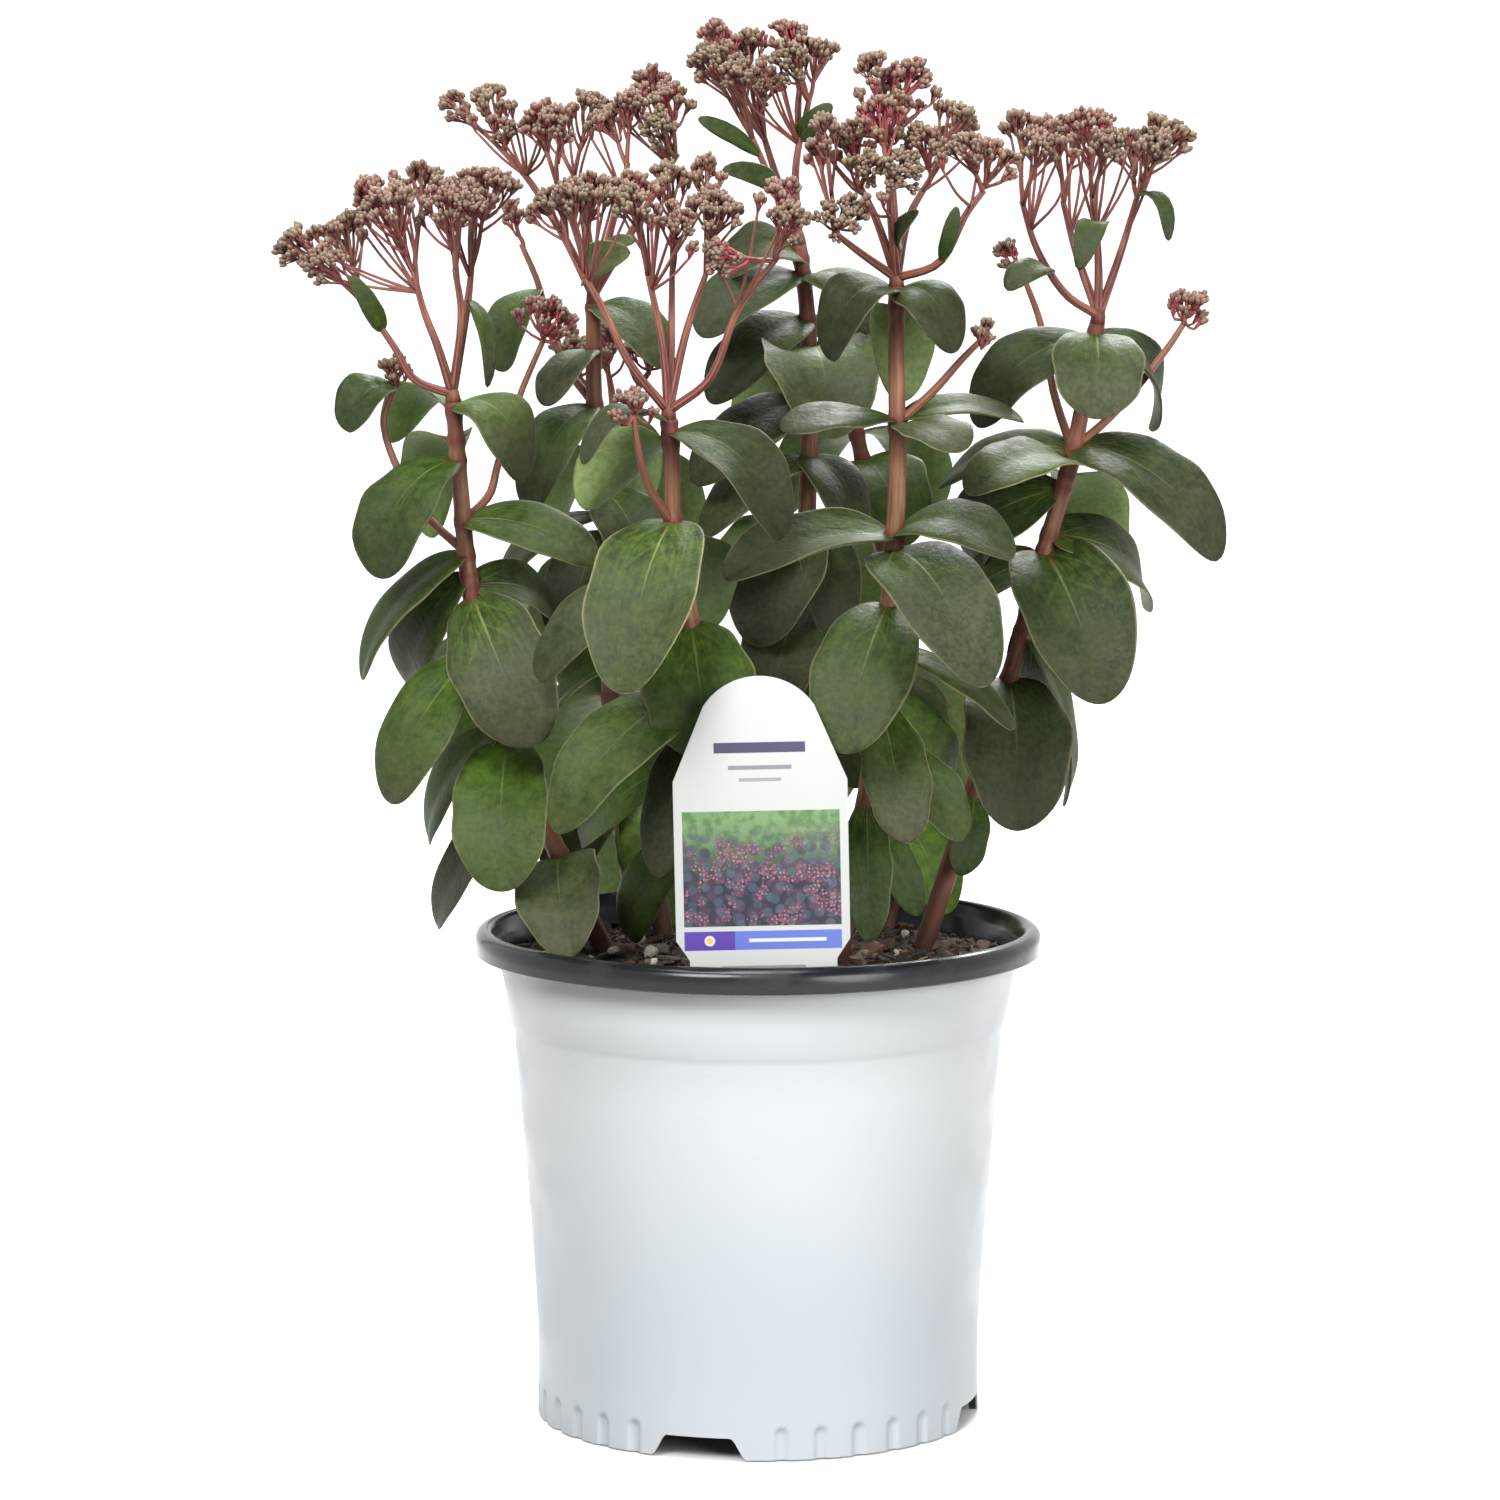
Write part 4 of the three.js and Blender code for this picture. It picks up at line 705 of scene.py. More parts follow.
class Finish:
    """A material in the making: its nodes are added one by one, and lead to its surface."""

    def __init__(self, name, roughness=0.5, **sockets):
        self.material = bpy.data.materials.new(name)
        self.material.use_nodes = True
        self.tree = self.material.node_tree
        self.surface = self.tree.nodes["Principled BSDF"]
        self.surface.inputs["Roughness"].default_value = roughness
        for socket, value in sockets.items():
            self.surface.inputs[socket.replace("_", " ")].default_value = value
        self.object_place = self.add("ShaderNodeTexCoord").outputs["Object"]

    def add(self, kind, *inputs, **settings):
        node = self.tree.nodes.new(kind)
        for name, value in settings.items():
            setattr(node, name, value)
        for socket, value in zip(node.inputs, inputs):
            self.feed(socket, value)
        return node

    def feed(self, socket, value):
        if isinstance(value, bpy.types.NodeSocket):
            self.tree.links.new(value, socket)
        else:
            socket.default_value = value

    def math(self, operation, *values, clamp=False):
        return self.add("ShaderNodeMath", *values, operation=operation, use_clamp=clamp).outputs[0]

    def times(self, first, *others):
        for other in others:
            first = self.math("MULTIPLY", first, other)
        return first

    def between(self, value, low, high, out_low=0, out_high=1, soft=True):
        """The value brought from one range to another, and held inside it."""
        kind = "SMOOTHSTEP" if soft else "LINEAR"
        ranges = (low, high, out_low, out_high)
        return self.add("ShaderNodeMapRange", value, *ranges, interpolation_type=kind).outputs[0]

    def mix(self, share, base, other, blend="MIX"):
        node = self.add("ShaderNodeMix", share, data_type="RGBA", blend_type=blend)
        self.feed(node.inputs[6], base)
        self.feed(node.inputs[7], other)
        return node.outputs[2]

    def over(self, base, share, strength, colour):
        """A colour laid over another, by a share of a strength."""
        return self.mix(self.times(share, strength), base, colour)

    def shaded(self, colour, share, low, high):
        """A colour made darker or lighter all over, by a share."""
        return self.mix(1, colour, self.between(share, 0, 1, low, high, soft=False), "MULTIPLY")

    def joined(self, *numbers):
        return self.add("ShaderNodeCombineXYZ", *numbers).outputs[0]

    def parted(self, place):
        return self.add("ShaderNodeSeparateXYZ", place).outputs

    def read(self, name):
        """The three numbers of one of the piece's own attributes."""
        return self.parted(self.add("ShaderNodeAttribute", attribute_name=name).outputs["Vector"])

    def stretched(self, scale):
        node = self.add("ShaderNodeMapping", self.object_place)
        node.inputs["Scale"].default_value = scale
        return node.outputs[0]

    def noise(self, scale, detail=3, place=None, roughness=0.5):
        node = self.add("ShaderNodeTexNoise")
        self.feed(node.inputs["Vector"], place or self.object_place)
        for name, value in (("Scale", scale), ("Detail", detail), ("Roughness", roughness)):
            node.inputs[name].default_value = value
        return node.outputs[0]

    def colour(self, value):
        self.feed(self.surface.inputs["Base Color"], value)

    def rough(self, value):
        self.feed(self.surface.inputs["Roughness"], value)

    def bump(self, height, strength, distance):
        """Relief, laid over what is there."""
        node = self.add("ShaderNodeBump")
        node.inputs["Strength"].default_value = strength
        node.inputs["Distance"].default_value = distance
        self.feed(node.inputs["Height"], height)
        normal = self.surface.inputs["Normal"]
        if normal.is_linked:
            self.feed(node.inputs["Normal"], normal.links[0].from_socket)
        self.feed(normal, node.outputs[0])


def leaf_finish():
    """Olive flesh, mossy at its foot and slate towards its tip, under a powdery bloom, with a pale margin that
    is partly a painted highlight on its rounded edge, and painted light shining through the leaves at the
    back, which turns them bright green.
    """
    m = Finish("leaf_flesh", Specular_IOR_Level=0.13)
    side, along, face = m.read("growth")
    green, purple, chance = m.read("tone")
    across = m.math("ABSOLUTE", side)
    clouds = m.between(m.noise(240, 5, roughness=0.62), 0.26, 0.74)
    powder = m.between(m.noise(650, 4), 0.34, 0.66)
    grain = m.joined(m.times(side, 2.4), m.math("ADD", along, m.times(across, -0.5)), m.times(chance, 40))
    fibres = m.between(m.noise(7, 5, grain, 0.65), 0.35, 0.65)

    slate = m.mix(clouds, rgb(26, 32, 17), rgb(40, 47, 27))
    moss = m.mix(clouds, rgb(50, 76, 14), rgb(84, 118, 27))
    mossy = m.times(m.between(along, 0.7, 0), m.times(fibres, 0.5))
    # The tone's green picks moss over slate: at the leaf's foot and low on the plant it is the leaf's own
    # green; on back and turned-away leaves it is painted light shining through the leaf.
    upper = m.mix(m.math("ADD", green, mossy, clamp=True), slate, moss)
    tip = m.between(m.math("ADD", along, m.times(clouds, 0.5)), 0.3, 1.4)
    brink = m.times(m.math("POWER", across, 3), 0.8)
    umber = m.mix(clouds, rgb(44, 38, 32), rgb(60, 52, 42))
    upper = m.over(upper, m.math("MAXIMUM", tip, brink), purple, umber)
    bloom = m.times(m.between(m.noise(34, 5), 0.36, 0.7), m.between(along, 0.05, 0.9, 0.05, 0.36))
    upper = m.over(upper, bloom, m.between(powder, 0, 1, 0.5, 1), rgb(76, 83, 63))
    upper = m.over(upper, fibres, 0.04, rgb(120, 128, 80))
    under = m.mix(clouds, rgb(122, 140, 97), rgb(158, 171, 128))
    # On back and turned-away leaves this green on the underside is painted light shining through the leaf.
    under = m.over(under, green, 0.7, rgb(104, 140, 44))
    under = m.over(under, fibres, 0.2, rgb(138, 148, 100))

    fade = m.math("POWER", m.math("SUBTRACT", 1, along), 3)
    width = m.math("ADD", m.times(fade, 0.06), 0.018)
    rib = m.times(m.between(m.math("DIVIDE", across, width), 1, 0.2), m.between(along, 0.75, 0.1))
    rib_colour = m.mix(m.between(along, 0.04, 0.24), rgb(124, 72, 50), rgb(132, 140, 92))
    slant = m.math("SUBTRACT", along, m.times(across, 0.45))
    wave = m.math("SINE", m.times(m.math("ADD", slant, m.times(m.noise(30, 2), 0.12)), 26))
    veins = m.times(m.between(wave, 0.86, 1), m.between(across, 0.95, 0.1), m.between(slant, 0.5, -0.1))
    upper = m.over(upper, rib, 0.6, rib_colour)
    upper = m.over(upper, veins, 0.3, rgb(112, 122, 80))
    under = m.over(under, rib, 0.35, rgb(165, 168, 138))

    colour = m.mix(m.between(face, -0.5, 0.1), under, upper)
    # Pale line along the leaf's edge: partly its own pale margin, partly a painted highlight where the rounded
    # edge catches light.
    margin = m.between(m.math("ABSOLUTE", face), 0.42, 0.05)
    colour = m.over(colour, margin, 0.55, rgb(146, 141, 106))
    colour = m.over(colour, m.between(along, 0.08, 0.01), 0.7, rgb(110, 58, 48))
    colour = m.shaded(colour, powder, 0.9, 1.1)
    m.colour(m.shaded(colour, chance, 0.62, 1.28))
    m.rough(m.between(clouds, 0, 1, 0.44, 0.58))
    m.bump(powder, 0.2, 0.0003)
    m.bump(fibres, 0.05, 0.0005)
    m.bump(m.noise(230, 3), 0.3, 0.0008)
    return m.material


def stalk_finish():
    """Tan-olive skin streaked with mauve, maroon at the nodes, darker low down, and pinker on thin stalks."""
    m = Finish("stalk_skin", Specular_IOR_Level=0.2)
    height, ring, level = m.read("growth")
    pink, round_x, round_y = m.read("tone")
    upright = m.times(m.parted(m.object_place)[2], 30)
    streaks = m.between(m.noise(2.2, 4, m.joined(round_x, round_y, upright), 0.6), 0.36, 0.64)
    patches = m.between(m.noise(48, 4), 0.36, 0.64)
    skin = m.mix(patches, rgb(126, 98, 68), rgb(168, 132, 93))
    mauve = m.mix(patches, rgb(90, 48, 46), rgb(140, 84, 76))
    skin = m.over(skin, m.between(pink, 0, 1, 0.45, 1), streaks, mauve)
    skin = m.mix(m.between(height, 0.5, 1, 0, 0.5), skin, rgb(110, 58, 54))
    skin = m.mix(m.between(height, 0.42, 0.05), skin, m.mix(streaks, rgb(52, 32, 30), rgb(88, 58, 46)))
    skin = m.over(skin, ring, 0.75, rgb(98, 42, 42))
    branch = m.mix(streaks, rgb(88, 46, 47), rgb(156, 103, 86))
    skin = m.mix(m.between(level, 0.05, 0.35), skin, branch)
    thin = m.mix(pink, rgb(128, 76, 70), rgb(184, 82, 94))
    thin = m.over(thin, patches, 0.4, rgb(150, 122, 98))
    thin = m.over(thin, streaks, 0.5, rgb(92, 52, 52))
    m.colour(m.mix(m.between(level, 0.4, 0.95), skin, thin))
    m.bump(streaks, 0.2, 0.0004)
    return m.material


def bud_finish():
    """Grey-brown to olive buds, with a painted highlight that makes them paler on top, a maroon foot and
    darker seams.
    """
    m = Finish("bud_skin", 0.55, Specular_IOR_Level=0.2)
    height, seam = m.read("growth")[:2]
    olive, pink, luck = m.read("tone")
    skin = m.mix(olive, rgb(122, 98, 86), rgb(116, 104, 76))
    skin = m.over(skin, pink, 0.7, rgb(156, 92, 94))
    skin = m.mix(m.between(height, 0.5, 0), skin, rgb(142, 70, 70))
    # Painted highlight: the top of each bud is made paler, as if lit from above.
    skin = m.over(skin, m.between(height, 0.55, 0.95), 0.75, rgb(150, 133, 114))
    skin = m.over(skin, seam, m.between(height, 0.2, 1, 0.15, 0.45), rgb(84, 62, 58))
    m.colour(m.shaded(skin, luck, 0.74, 1.2))
    m.bump(m.noise(900, 2), 0.25, 0.0003)
    return m.material


def pale_pot_finish():
    """Cool white plastic, with painted shade that greys it towards its foot, and scuffed here and there."""
    m = Finish("pale_pot_plastic", 0.42)
    clouds = m.between(m.noise(9, 3), 0.3, 0.7)
    colour = m.mix(clouds, rgb(203, 208, 211), rgb(209, 213, 216))
    # Painted shade: the lower wall is made greyer, standing in for less light reaching it.
    foot = m.between(m.parted(m.object_place)[2], 0.12, 0.02)
    colour = m.mix(foot, colour, rgb(183, 190, 195))
    scuffs = m.between(m.noise(120, 4, m.stretched((1, 1, 5))), 0.66, 0.74)
    m.colour(m.over(colour, scuffs, 0.25, rgb(188, 196, 202)))
    m.rough(m.between(m.noise(70, 3), 0.3, 0.7, 0.34, 0.46))
    m.bump(m.noise(160, 3), 0.06, 0.0006)
    return m.material


def dark_pot_finish():
    """Near-black slate plastic with faint turned rings and a film of dust."""
    m = Finish("dark_pot_plastic", 0.3, Specular_IOR_Level=0.3)
    dust = m.between(m.noise(60, 5), 0.45, 0.75)
    m.colour(m.over(rgb(20, 22, 25), dust, 0.2, rgb(60, 58, 56)))
    m.rough(m.between(dust, 0, 1, 0.2, 0.36))
    m.bump(m.noise(420, 2, m.stretched((0.02, 0.02, 1))), 0.25, 0.0003)
    return m.material


def soil_finish():
    """Damp dark-brown peat with coarse grain."""
    m = Finish("peat", 0.92)
    clods = m.between(m.noise(320, 5), 0.3, 0.7)
    m.colour(m.mix(clods, rgb(20, 15, 12), rgb(56, 42, 34)))
    m.bump(m.noise(420, 5), 0.9, 0.0015)
    return m.material


def bark_finish():
    """Shredded bark from dark to reddish and tan, streaked along its grain."""
    m = Finish("bark", 0.85)
    red, tan, chance = m.read("tone")
    streaks = m.between(m.noise(500, 4), 0.3, 0.7)
    wood = m.mix(streaks, rgb(36, 27, 23), rgb(70, 54, 45))
    wood = m.mix(red, wood, m.mix(streaks, rgb(74, 46, 34), rgb(104, 70, 50)))
    wood = m.mix(tan, wood, m.mix(streaks, rgb(104, 88, 72), rgb(150, 132, 110)))
    m.colour(m.shaded(wood, chance, 0.5, 1.05))
    m.bump(m.noise(800, 4), 0.6, 0.0006)
    return m.material


def perlite_finish():
    """Chalky expanded grains, some stained by the peat."""
    m = Finish("perlite", 0.9)
    stain = m.between(m.noise(300, 4), 0.5, 0.75)
    m.colour(m.over(rgb(190, 184, 172), stain, 0.7, rgb(120, 104, 88)))
    m.bump(m.noise(900, 3), 0.6, 0.0006)
    return m.material


def tag_finish():
    """Off-white glossy card, printed on its front: a panel of round blossoms, a two-colour band and bars."""
    m = Finish("printed_card", 0.4, Specular_IOR_Level=0.3)
    x, z, face = m.read("growth")

    def box(left, right, low, high, edge=0.12):
        sides = [m.between(x, left - edge, left + edge), m.between(x, right + edge, right - edge)]
        ends = [m.between(z, low - edge, low + edge), m.between(z, high + edge, high - edge)]
        return m.times(m.times(*sides), m.times(*ends))

    def disc(centre_x, centre_z, radius, edge=0.1):
        away = m.math("POWER", m.math("SUBTRACT", x, centre_x), 2)
        up = m.math("POWER", m.math("SUBTRACT", z, centre_z), 2)
        return m.between(m.math("SQRT", m.math("ADD", away, up)), radius + edge, radius - edge)

    def blossoms(spread, size, shift):
        cells = m.add("ShaderNodeTexVoronoi", voronoi_dimensions="2D")
        m.feed(cells.inputs["Vector"], m.joined(m.math("ADD", x, shift), z))
        cells.inputs["Scale"].default_value = 1 / spread
        cells.inputs["Randomness"].default_value = 0.7
        return m.between(cells.outputs["Distance"], size, size * 0.7), cells.outputs["Color"]

    card = rgb(192, 194, 191)
    patches = m.between(m.noise(150, 3), 0.46, 0.58)
    lawn = m.mix(m.between(m.noise(420, 3), 0.35, 0.65), rgb(84, 118, 76), rgb(116, 146, 100))
    panel = m.mix(m.between(z, 168, 186), rgb(34, 38, 50), lawn)
    lower = m.between(z, 187, 176)
    for spread, size, shift, share, deep, light in (
            (4.2, 0.46, 0, 0.85, rgb(46, 40, 56), rgb(84, 64, 84)),
            (3.6, 0.42, 90, 0.4, rgb(56, 74, 88), rgb(96, 118, 132)),
            (1.7, 0.42, 41, patches, rgb(84, 50, 66), rgb(132, 82, 96)),
            (1.2, 0.3, 17, patches, rgb(116, 80, 98), rgb(168, 128, 134))):
        petals, chance = blossoms(spread, size, shift)
        panel = m.over(panel, petals, m.times(lower, share), m.mix(chance, deep, light))
    print_colour = m.mix(box(-22.4, 22.4, 156, 189), card, panel)
    for shape, ink in (
            (box(-22.4, 22.4, 149.2, 154.6), rgb(96, 114, 190)),
            (box(-22.4, -8, 149.2, 154.6), rgb(84, 62, 150)),
            (disc(-15.2, 151.9, 1.5), rgb(212, 210, 218)),
            (disc(-15.2, 151.9, 0.9), rgb(220, 184, 90)),
            (box(-13, 13, 205.6, 208.6), rgb(70, 66, 92)),
            (box(-9, 9, 200.8, 202), rgb(132, 128, 140)),
            (box(-6, 6, 197.4, 198.4), rgb(150, 146, 156)),
            (box(-4, 18, 151.4, 152.4), rgb(208, 211, 222)),
            (box(-12, 12, 143.6, 144.6), rgb(140, 138, 140)),
            (box(-8, 8, 140.4, 141.3), rgb(150, 148, 150))):
        print_colour = m.mix(shape, print_colour, ink)
    m.colour(m.mix(m.between(face, 0.4, 0.6), card, print_colour))
    m.bump(m.noise(25, 2), 0.04, 0.001)
    return m.material


# Pot


def flute_depth(arc, z):
    """How deep a round-topped flute is pressed in, by the way round from its middle and the height."""
    half = FLUTE["width"] / 2
    crown = max(z - FLUTE["straight"], 0)
    reach = math.hypot(arc, crown * half / FLUTE["crown"])
    return FLUTE["depth"] * smooth(reach, half, half - FLUTE["edge"])


def pot_foot(bm):
    """Presses the flutes into the foot and cuts the low drainage notches."""
    spacing = 360 / NOTCHES
    for v in bm.verts:
        radius = v.co.xy.length
        if v.co.z > FOOT_HEIGHT or radius < FOOT_INNER - FOOT_SLACK:
            continue
        past_notch = (math.degrees(math.atan2(v.co.y, v.co.x)) - NOTCH["first"]) % spacing
        from_notch = (past_notch + spacing / 2) % spacing - spacing / 2
        arc = math.radians(from_notch) * FOOT_RADIUS
        cut = NOTCH["height"] * smooth(abs(arc), NOTCH["foot"] / 2, NOTCH["crown"] / 2)
        v.co.z = max(v.co.z, cut)
        if radius > FOOT_RADIUS - FOOT_SLACK:
            past_flute = past_notch - FLUTE["first"]
            nearest = min(max(round(past_flute / FLUTE["pitch"]), 0), FLUTE["count"] - 1)
            arc = math.radians(past_flute - nearest * FLUTE["pitch"]) * FOOT_RADIUS
            v.co.xy *= 1 - flute_depth(arc, v.co.z) / radius
    bmesh.ops.remove_doubles(bm, verts=bm.verts, dist=WELD)


def inset(profile, depth):
    return [(radius - depth, z) for radius, z in profile]


def build_pot():
    """A pale outer skin over a dark wall, which holds the floor and the rolled rim."""
    outside = [(FOOT_RADIUS, FOOT_HEIGHT * k / FOOT_ROWS) for k in range(FOOT_ROWS)] + BODY
    bm = new_piece()
    spun(bm, outside + inset(reversed(outside), SKIN), POT_STEPS)
    pot_foot(bm)
    finished("pot_outer_wall", bm, pale_pot_finish(), replaces=["pot"], sharp=40)

    bm = new_piece()
    under = [(0, FLOOR_UNDER)] + UNDER_BEND + [(FOOT_INNER, z) for z in range(6, -1, -1)]
    lining = inset(outside, SKIN + SKIN_GAP)
    inside = inset(reversed(BODY[1:-1]), WALL) + FLOOR_BEND + [(0, FLOOR_TOP)]
    spun(bm, under + lining + RIM + inside, POT_STEPS)
    pot_foot(bm)
    finished("pot_inner_wall", bm, dark_pot_finish(), sharp=40)


# Soil


def soil_height(x, y):
    radius = math.hypot(x, y)
    mound = SOIL_MOUND * (1 - (radius / SOIL_BRIM) ** 2)
    lumps = sum(noise.noise(Vector((x, y, layer)) / width) * rise for width, layer, rise in SOIL_LUMPS)
    return SOIL_TOP + mound + lumps * smooth(radius, SOIL_BRIM, SOIL_BRIM - SOIL_EVEN)


def on_soil(chance, bits):
    """Places for bits, spread evenly over the soil."""
    for _ in range(bits["count"]):
        radius = bits["brim"] * math.sqrt(chance.random())
        place = outward(chance.uniform(0, FULL_TURN)) * radius
        place.z = soil_height(place.x, place.y)
        yield place


def build_soil_bed():
    bm = new_piece()
    side = inset(BODY[1:-2], WALL + SOIL_GAP)
    rows = [(SOIL_BRIM * (1 - k / SOIL_RINGS), SOIL_TOP) for k in range(SOIL_RINGS + 1)]
    spun(bm, [(0, SOIL_FOOT[0][1])] + SOIL_FOOT + side + rows, SOIL_STEPS)
    for v in bm.verts:
        if v.co.z > SOIL_TOP - WELD:
            v.co.z = soil_height(v.co.x, v.co.y)
    finished("soil_bed", bm, soil_finish(), replaces=["soil"])


def chip_shape(chance):
    """A rough block with its corners drawn in."""
    bm = new_piece()
    bmesh.ops.create_cube(bm, size=1)
    bmesh.ops.subdivide_edges(bm, edges=bm.edges, cuts=1, use_grid_fill=True)
    for v in bm.verts:
        v.co += Vector([chance.uniform(-CHIPS["ragged"], CHIPS["ragged"]) for _ in range(3)])
        v.co *= 1 - CHIPS["drawn_in"] * (v.co.length - 0.5)
    return mesh_of(bm, "chip")


def crumb_shape(chance):
    bm = new_piece()
    bmesh.ops.create_icosphere(bm, subdivisions=1, radius=CRUMBS["radius"])
    for v in bm.verts:
        v.co += small(chance, CRUMBS["ragged"])
    return mesh_of(bm, "crumb")


def perlite_shape():
    bm = new_piece()
    bmesh.ops.create_icosphere(bm, subdivisions=2, radius=0.5)
    for v in bm.verts:
        v.co *= 1 + PERLITE["ragged"] * noise.noise(v.co * PERLITE["lumps"])
    return mesh_of(bm, "perlite")


def bark_tone(chance, bits):
    """Whether a bit of bark is red or tan, by the share of each, and how dark it is."""
    return float(chance.random() < bits["red"]), float(chance.random() < bits["tan"]), chance.random()


def scatter_bits(chance):
    """Bark chips, crumbs and perlite, half sunk in the soil."""
    shapes = [chip_shape(chance) for _ in range(CHIPS["shapes"])]
    bm = new_piece()
    for place in on_soil(chance, CHIPS):
        length = chance.choice(CHIPS["lengths"])
        size = (length, length * chance.uniform(*CHIPS["width"]), chance.uniform(*CHIPS["thick"]))
        way = Vector((chance.gauss(0, CHIPS["tilt"]), chance.gauss(0, CHIPS["tilt"]), 1)).normalized()
        tone = bark_tone(chance, CHIPS)
        place.z += size[2] * CHIPS["rise"]
        stamp(bm, chance.choice(shapes), aimed(place, way, size, chance.uniform(*ANY_TURN)), tone)
    finished("bark_chips", bm, bark_finish(), sharp=30)

    shapes = [crumb_shape(chance) for _ in range(CRUMBS["shapes"])]
    bm = new_piece()
    for place in on_soil(chance, CRUMBS):
        size = [chance.uniform(*CRUMBS["size"]) for _ in range(3)]
        tone = bark_tone(chance, CRUMBS)
        place.z += CRUMBS["rise"]
        stamp(bm, chance.choice(shapes), aimed(place, UP, size, chance.uniform(*ANY_TURN)), tone)
    finished("soil_crumbs", bm, bark_finish(), sharp=30)

    shape = perlite_shape()
    bm = new_piece()
    for place in on_soil(chance, PERLITE):
        size = chance.choice(PERLITE["sizes"])
        way = small(chance, 1).normalized()
        place.z += size * PERLITE["rise"]
        stamp(bm, shape, aimed(place, way, (size, size, size * chance.uniform(*PERLITE["flat"]))), (0, 0, 0))
    finished("perlite", bm, perlite_finish())


# Tag


def build_tag():
    """A thin card that stands in the soil on a pointed stake, with a narrower round head."""
    thick, radius = TAG["thick"], TAG_HEAD["radius"]
    side, steps = TAG_HEAD["side"], TAG_HEAD["steps"]
    turns = [math.radians(side + (180 - 2 * side) * k / steps) for k in range(steps + 1)]
    head = [(radius * math.cos(turn), TAG_HEAD["level"] + radius * math.sin(turn)) for turn in turns]
    outline = [(0, TAG["foot"])] + TAG_SIDE + head + [(-x, z) for x, z in reversed(TAG_SIDE)]
    bm = new_piece()
    face = bm.faces.new([bm.verts.new((x, 0, z)) for x, z in outline])
    grown = bmesh.ops.extrude_face_region(bm, geom=[face], use_keep_orig=True)["geom"]
    back = [item for item in grown if isinstance(item, bmesh.types.BMVert)]
    bmesh.ops.translate(bm, vec=(0, thick, 0), verts=back)
    mark(bm, bm.verts, lambda v: (v.co.x, v.co.z, float(v.co.y < thick / 2)))
    rims = [edge for edge in bm.edges if abs(edge.verts[0].co.y - edge.verts[1].co.y) < WELD]
    bmesh.ops.bevel(
        bm, geom=rims, offset=TAG["rounding"], segments=2, profile=0.5, affect="EDGES", material=-1)
    foot = Matrix.Translation((0, 0, TAG["foot"]))
    lean = foot @ Matrix.Rotation(-math.radians(TAG["lean"]), 4, "Y") @ foot.inverted()
    place = Matrix.Translation((TAG["x"], TAG["y"] - thick / 2, 0))
    bmesh.ops.transform(bm, matrix=place @ lean, verts=bm.verts)
    finished("plant_tag", bm, tag_finish(), replaces=["tag"], sharp=35)


# Leaves


def leaf_shape(base, tip, width, turn, lift, arch, lobes, chance):
    """Where a leaf's surface lies: across from -1 to 1, along from 0 to 1, on its upper or lower face."""
    span = tip - base
    length = span.length
    along = span.normalized()
    up = facing(turn, lift)
    up = (up - along * up.dot(along)).normalized()
    side = along.cross(up)
    thick = LEAF_FLESH if length > SMALL_LEAF else SMALL_LEAF_FLESH
    waves = [(chance.uniform(*LEAF_WAVES), chance.uniform(*ANY_TURN)) for _ in range(4)]
    luck = [chance.uniform(*bounds) for bounds in LEAF_LUCK.values()]
    twist, ripple, nick, fold, curl, nod, broader = luck

    def place(s, t, face):
        edge = abs(s)
        rate, phase = waves[s > 0]
        rim_rate, rim_phase = waves[2 + (s > 0)]
        u = t ** (LEAF_BROADEST + broader)
        spread = (4 * u * (1 - u)) ** LEAF_FULLNESS if 0 < t < 1 else 0
        spread *= 1 + nick * edge * math.sin(2 * rim_rate * t + rim_phase)
        half = math.hypot(spread * width / 2, LEAF_FOOT * (1 - t) ** 6)
        slope = 4 * arch * (1 - 2 * t)
        normal = (up - along * slope).normalized()
        tangent = (along + up * slope).normalized()
        sideways = (side + normal * twist * t * t).normalized()
        wave = ripple * width * math.sin(rate * t + phase) * edge ** 2.5 * math.sin(math.pi * t)
        lifted = fold * half * edge + curl * half * edge ** 5 + wave
        trough = math.exp(-((s * half / GROOVE["half"]) ** 2)) * math.sin(math.pi * min(t * 1.15, 1))
        groove = GROOVE["depth"] * (1 - s * s) * trough * (1 - t)
        keel = groove if face > 0 else -groove * GROOVE["under"]
        flesh = thick * math.sqrt(max(1 - s ** 4, 0)) * (max(4 * t * (1 - t), 0) ** 0.35)
        height = lifted - keel + flesh * face
        middle = base + span * t + up * (4 * arch * length * t * (1 - t)) - up * (nod * length) * t ** 4
        return middle + sideways * half * s - tangent * lobes * half * edge * (1 - t) ** 3 + normal * height

    return place


def add_leaf(bm, place, green, purple, chance, grid=LEAF_GRID):
    """A fleshy leaf: an upper and a lower sheet from one grid each, joined along the margin."""
    part = new_piece()
    tone = (green, purple, chance.random())
    growths, tones = (part.verts.layers.float_vector[name] for name in ("growth", "tone"))
    for face in (1, -1):
        sheet = bmesh.ops.create_grid(part, x_segments=grid[0], y_segments=grid[1], size=0.5)["verts"]
        for v in sheet:
            s = math.sin(math.pi * v.co.x)
            t = 0.5 - 0.5 * math.cos(math.pi * (v.co.y + 0.5))
            inner = 1 - max(abs(s) ** 10, (2 * abs(t - 0.5)) ** 40)
            v.co = place(s, t, face)
            v[growths] = (s, t, face * inner)
            v[tones] = tone
    bmesh.ops.remove_doubles(part, verts=part.verts, dist=LEAF_WELD)
    join_part(bm, part)


def leaf_tones(shoot, height, turn, chance):
    """How mossy and how purple a leaf is: mossy low down and purple-brown above; leaves at the back or turned
    away are made greener and less purple, as painted light shining through them.
    """
    # Painted light: leaves at the back or turned away from the front get a green start and little purple,
    # standing in for light shining through them.
    hind = shoot["name"].startswith("hind") or abs(turn) > 120
    low = smooth(height, *LOW_LEAVES)
    green = (0.5 if hind else 0.1) + 0.5 * chance.random() * low + 0.35 * chance.random() ** 3
    purple = (0.15 if hind else 0.8) * chance.uniform(0.15, 1)
    return min(green, 1), purple


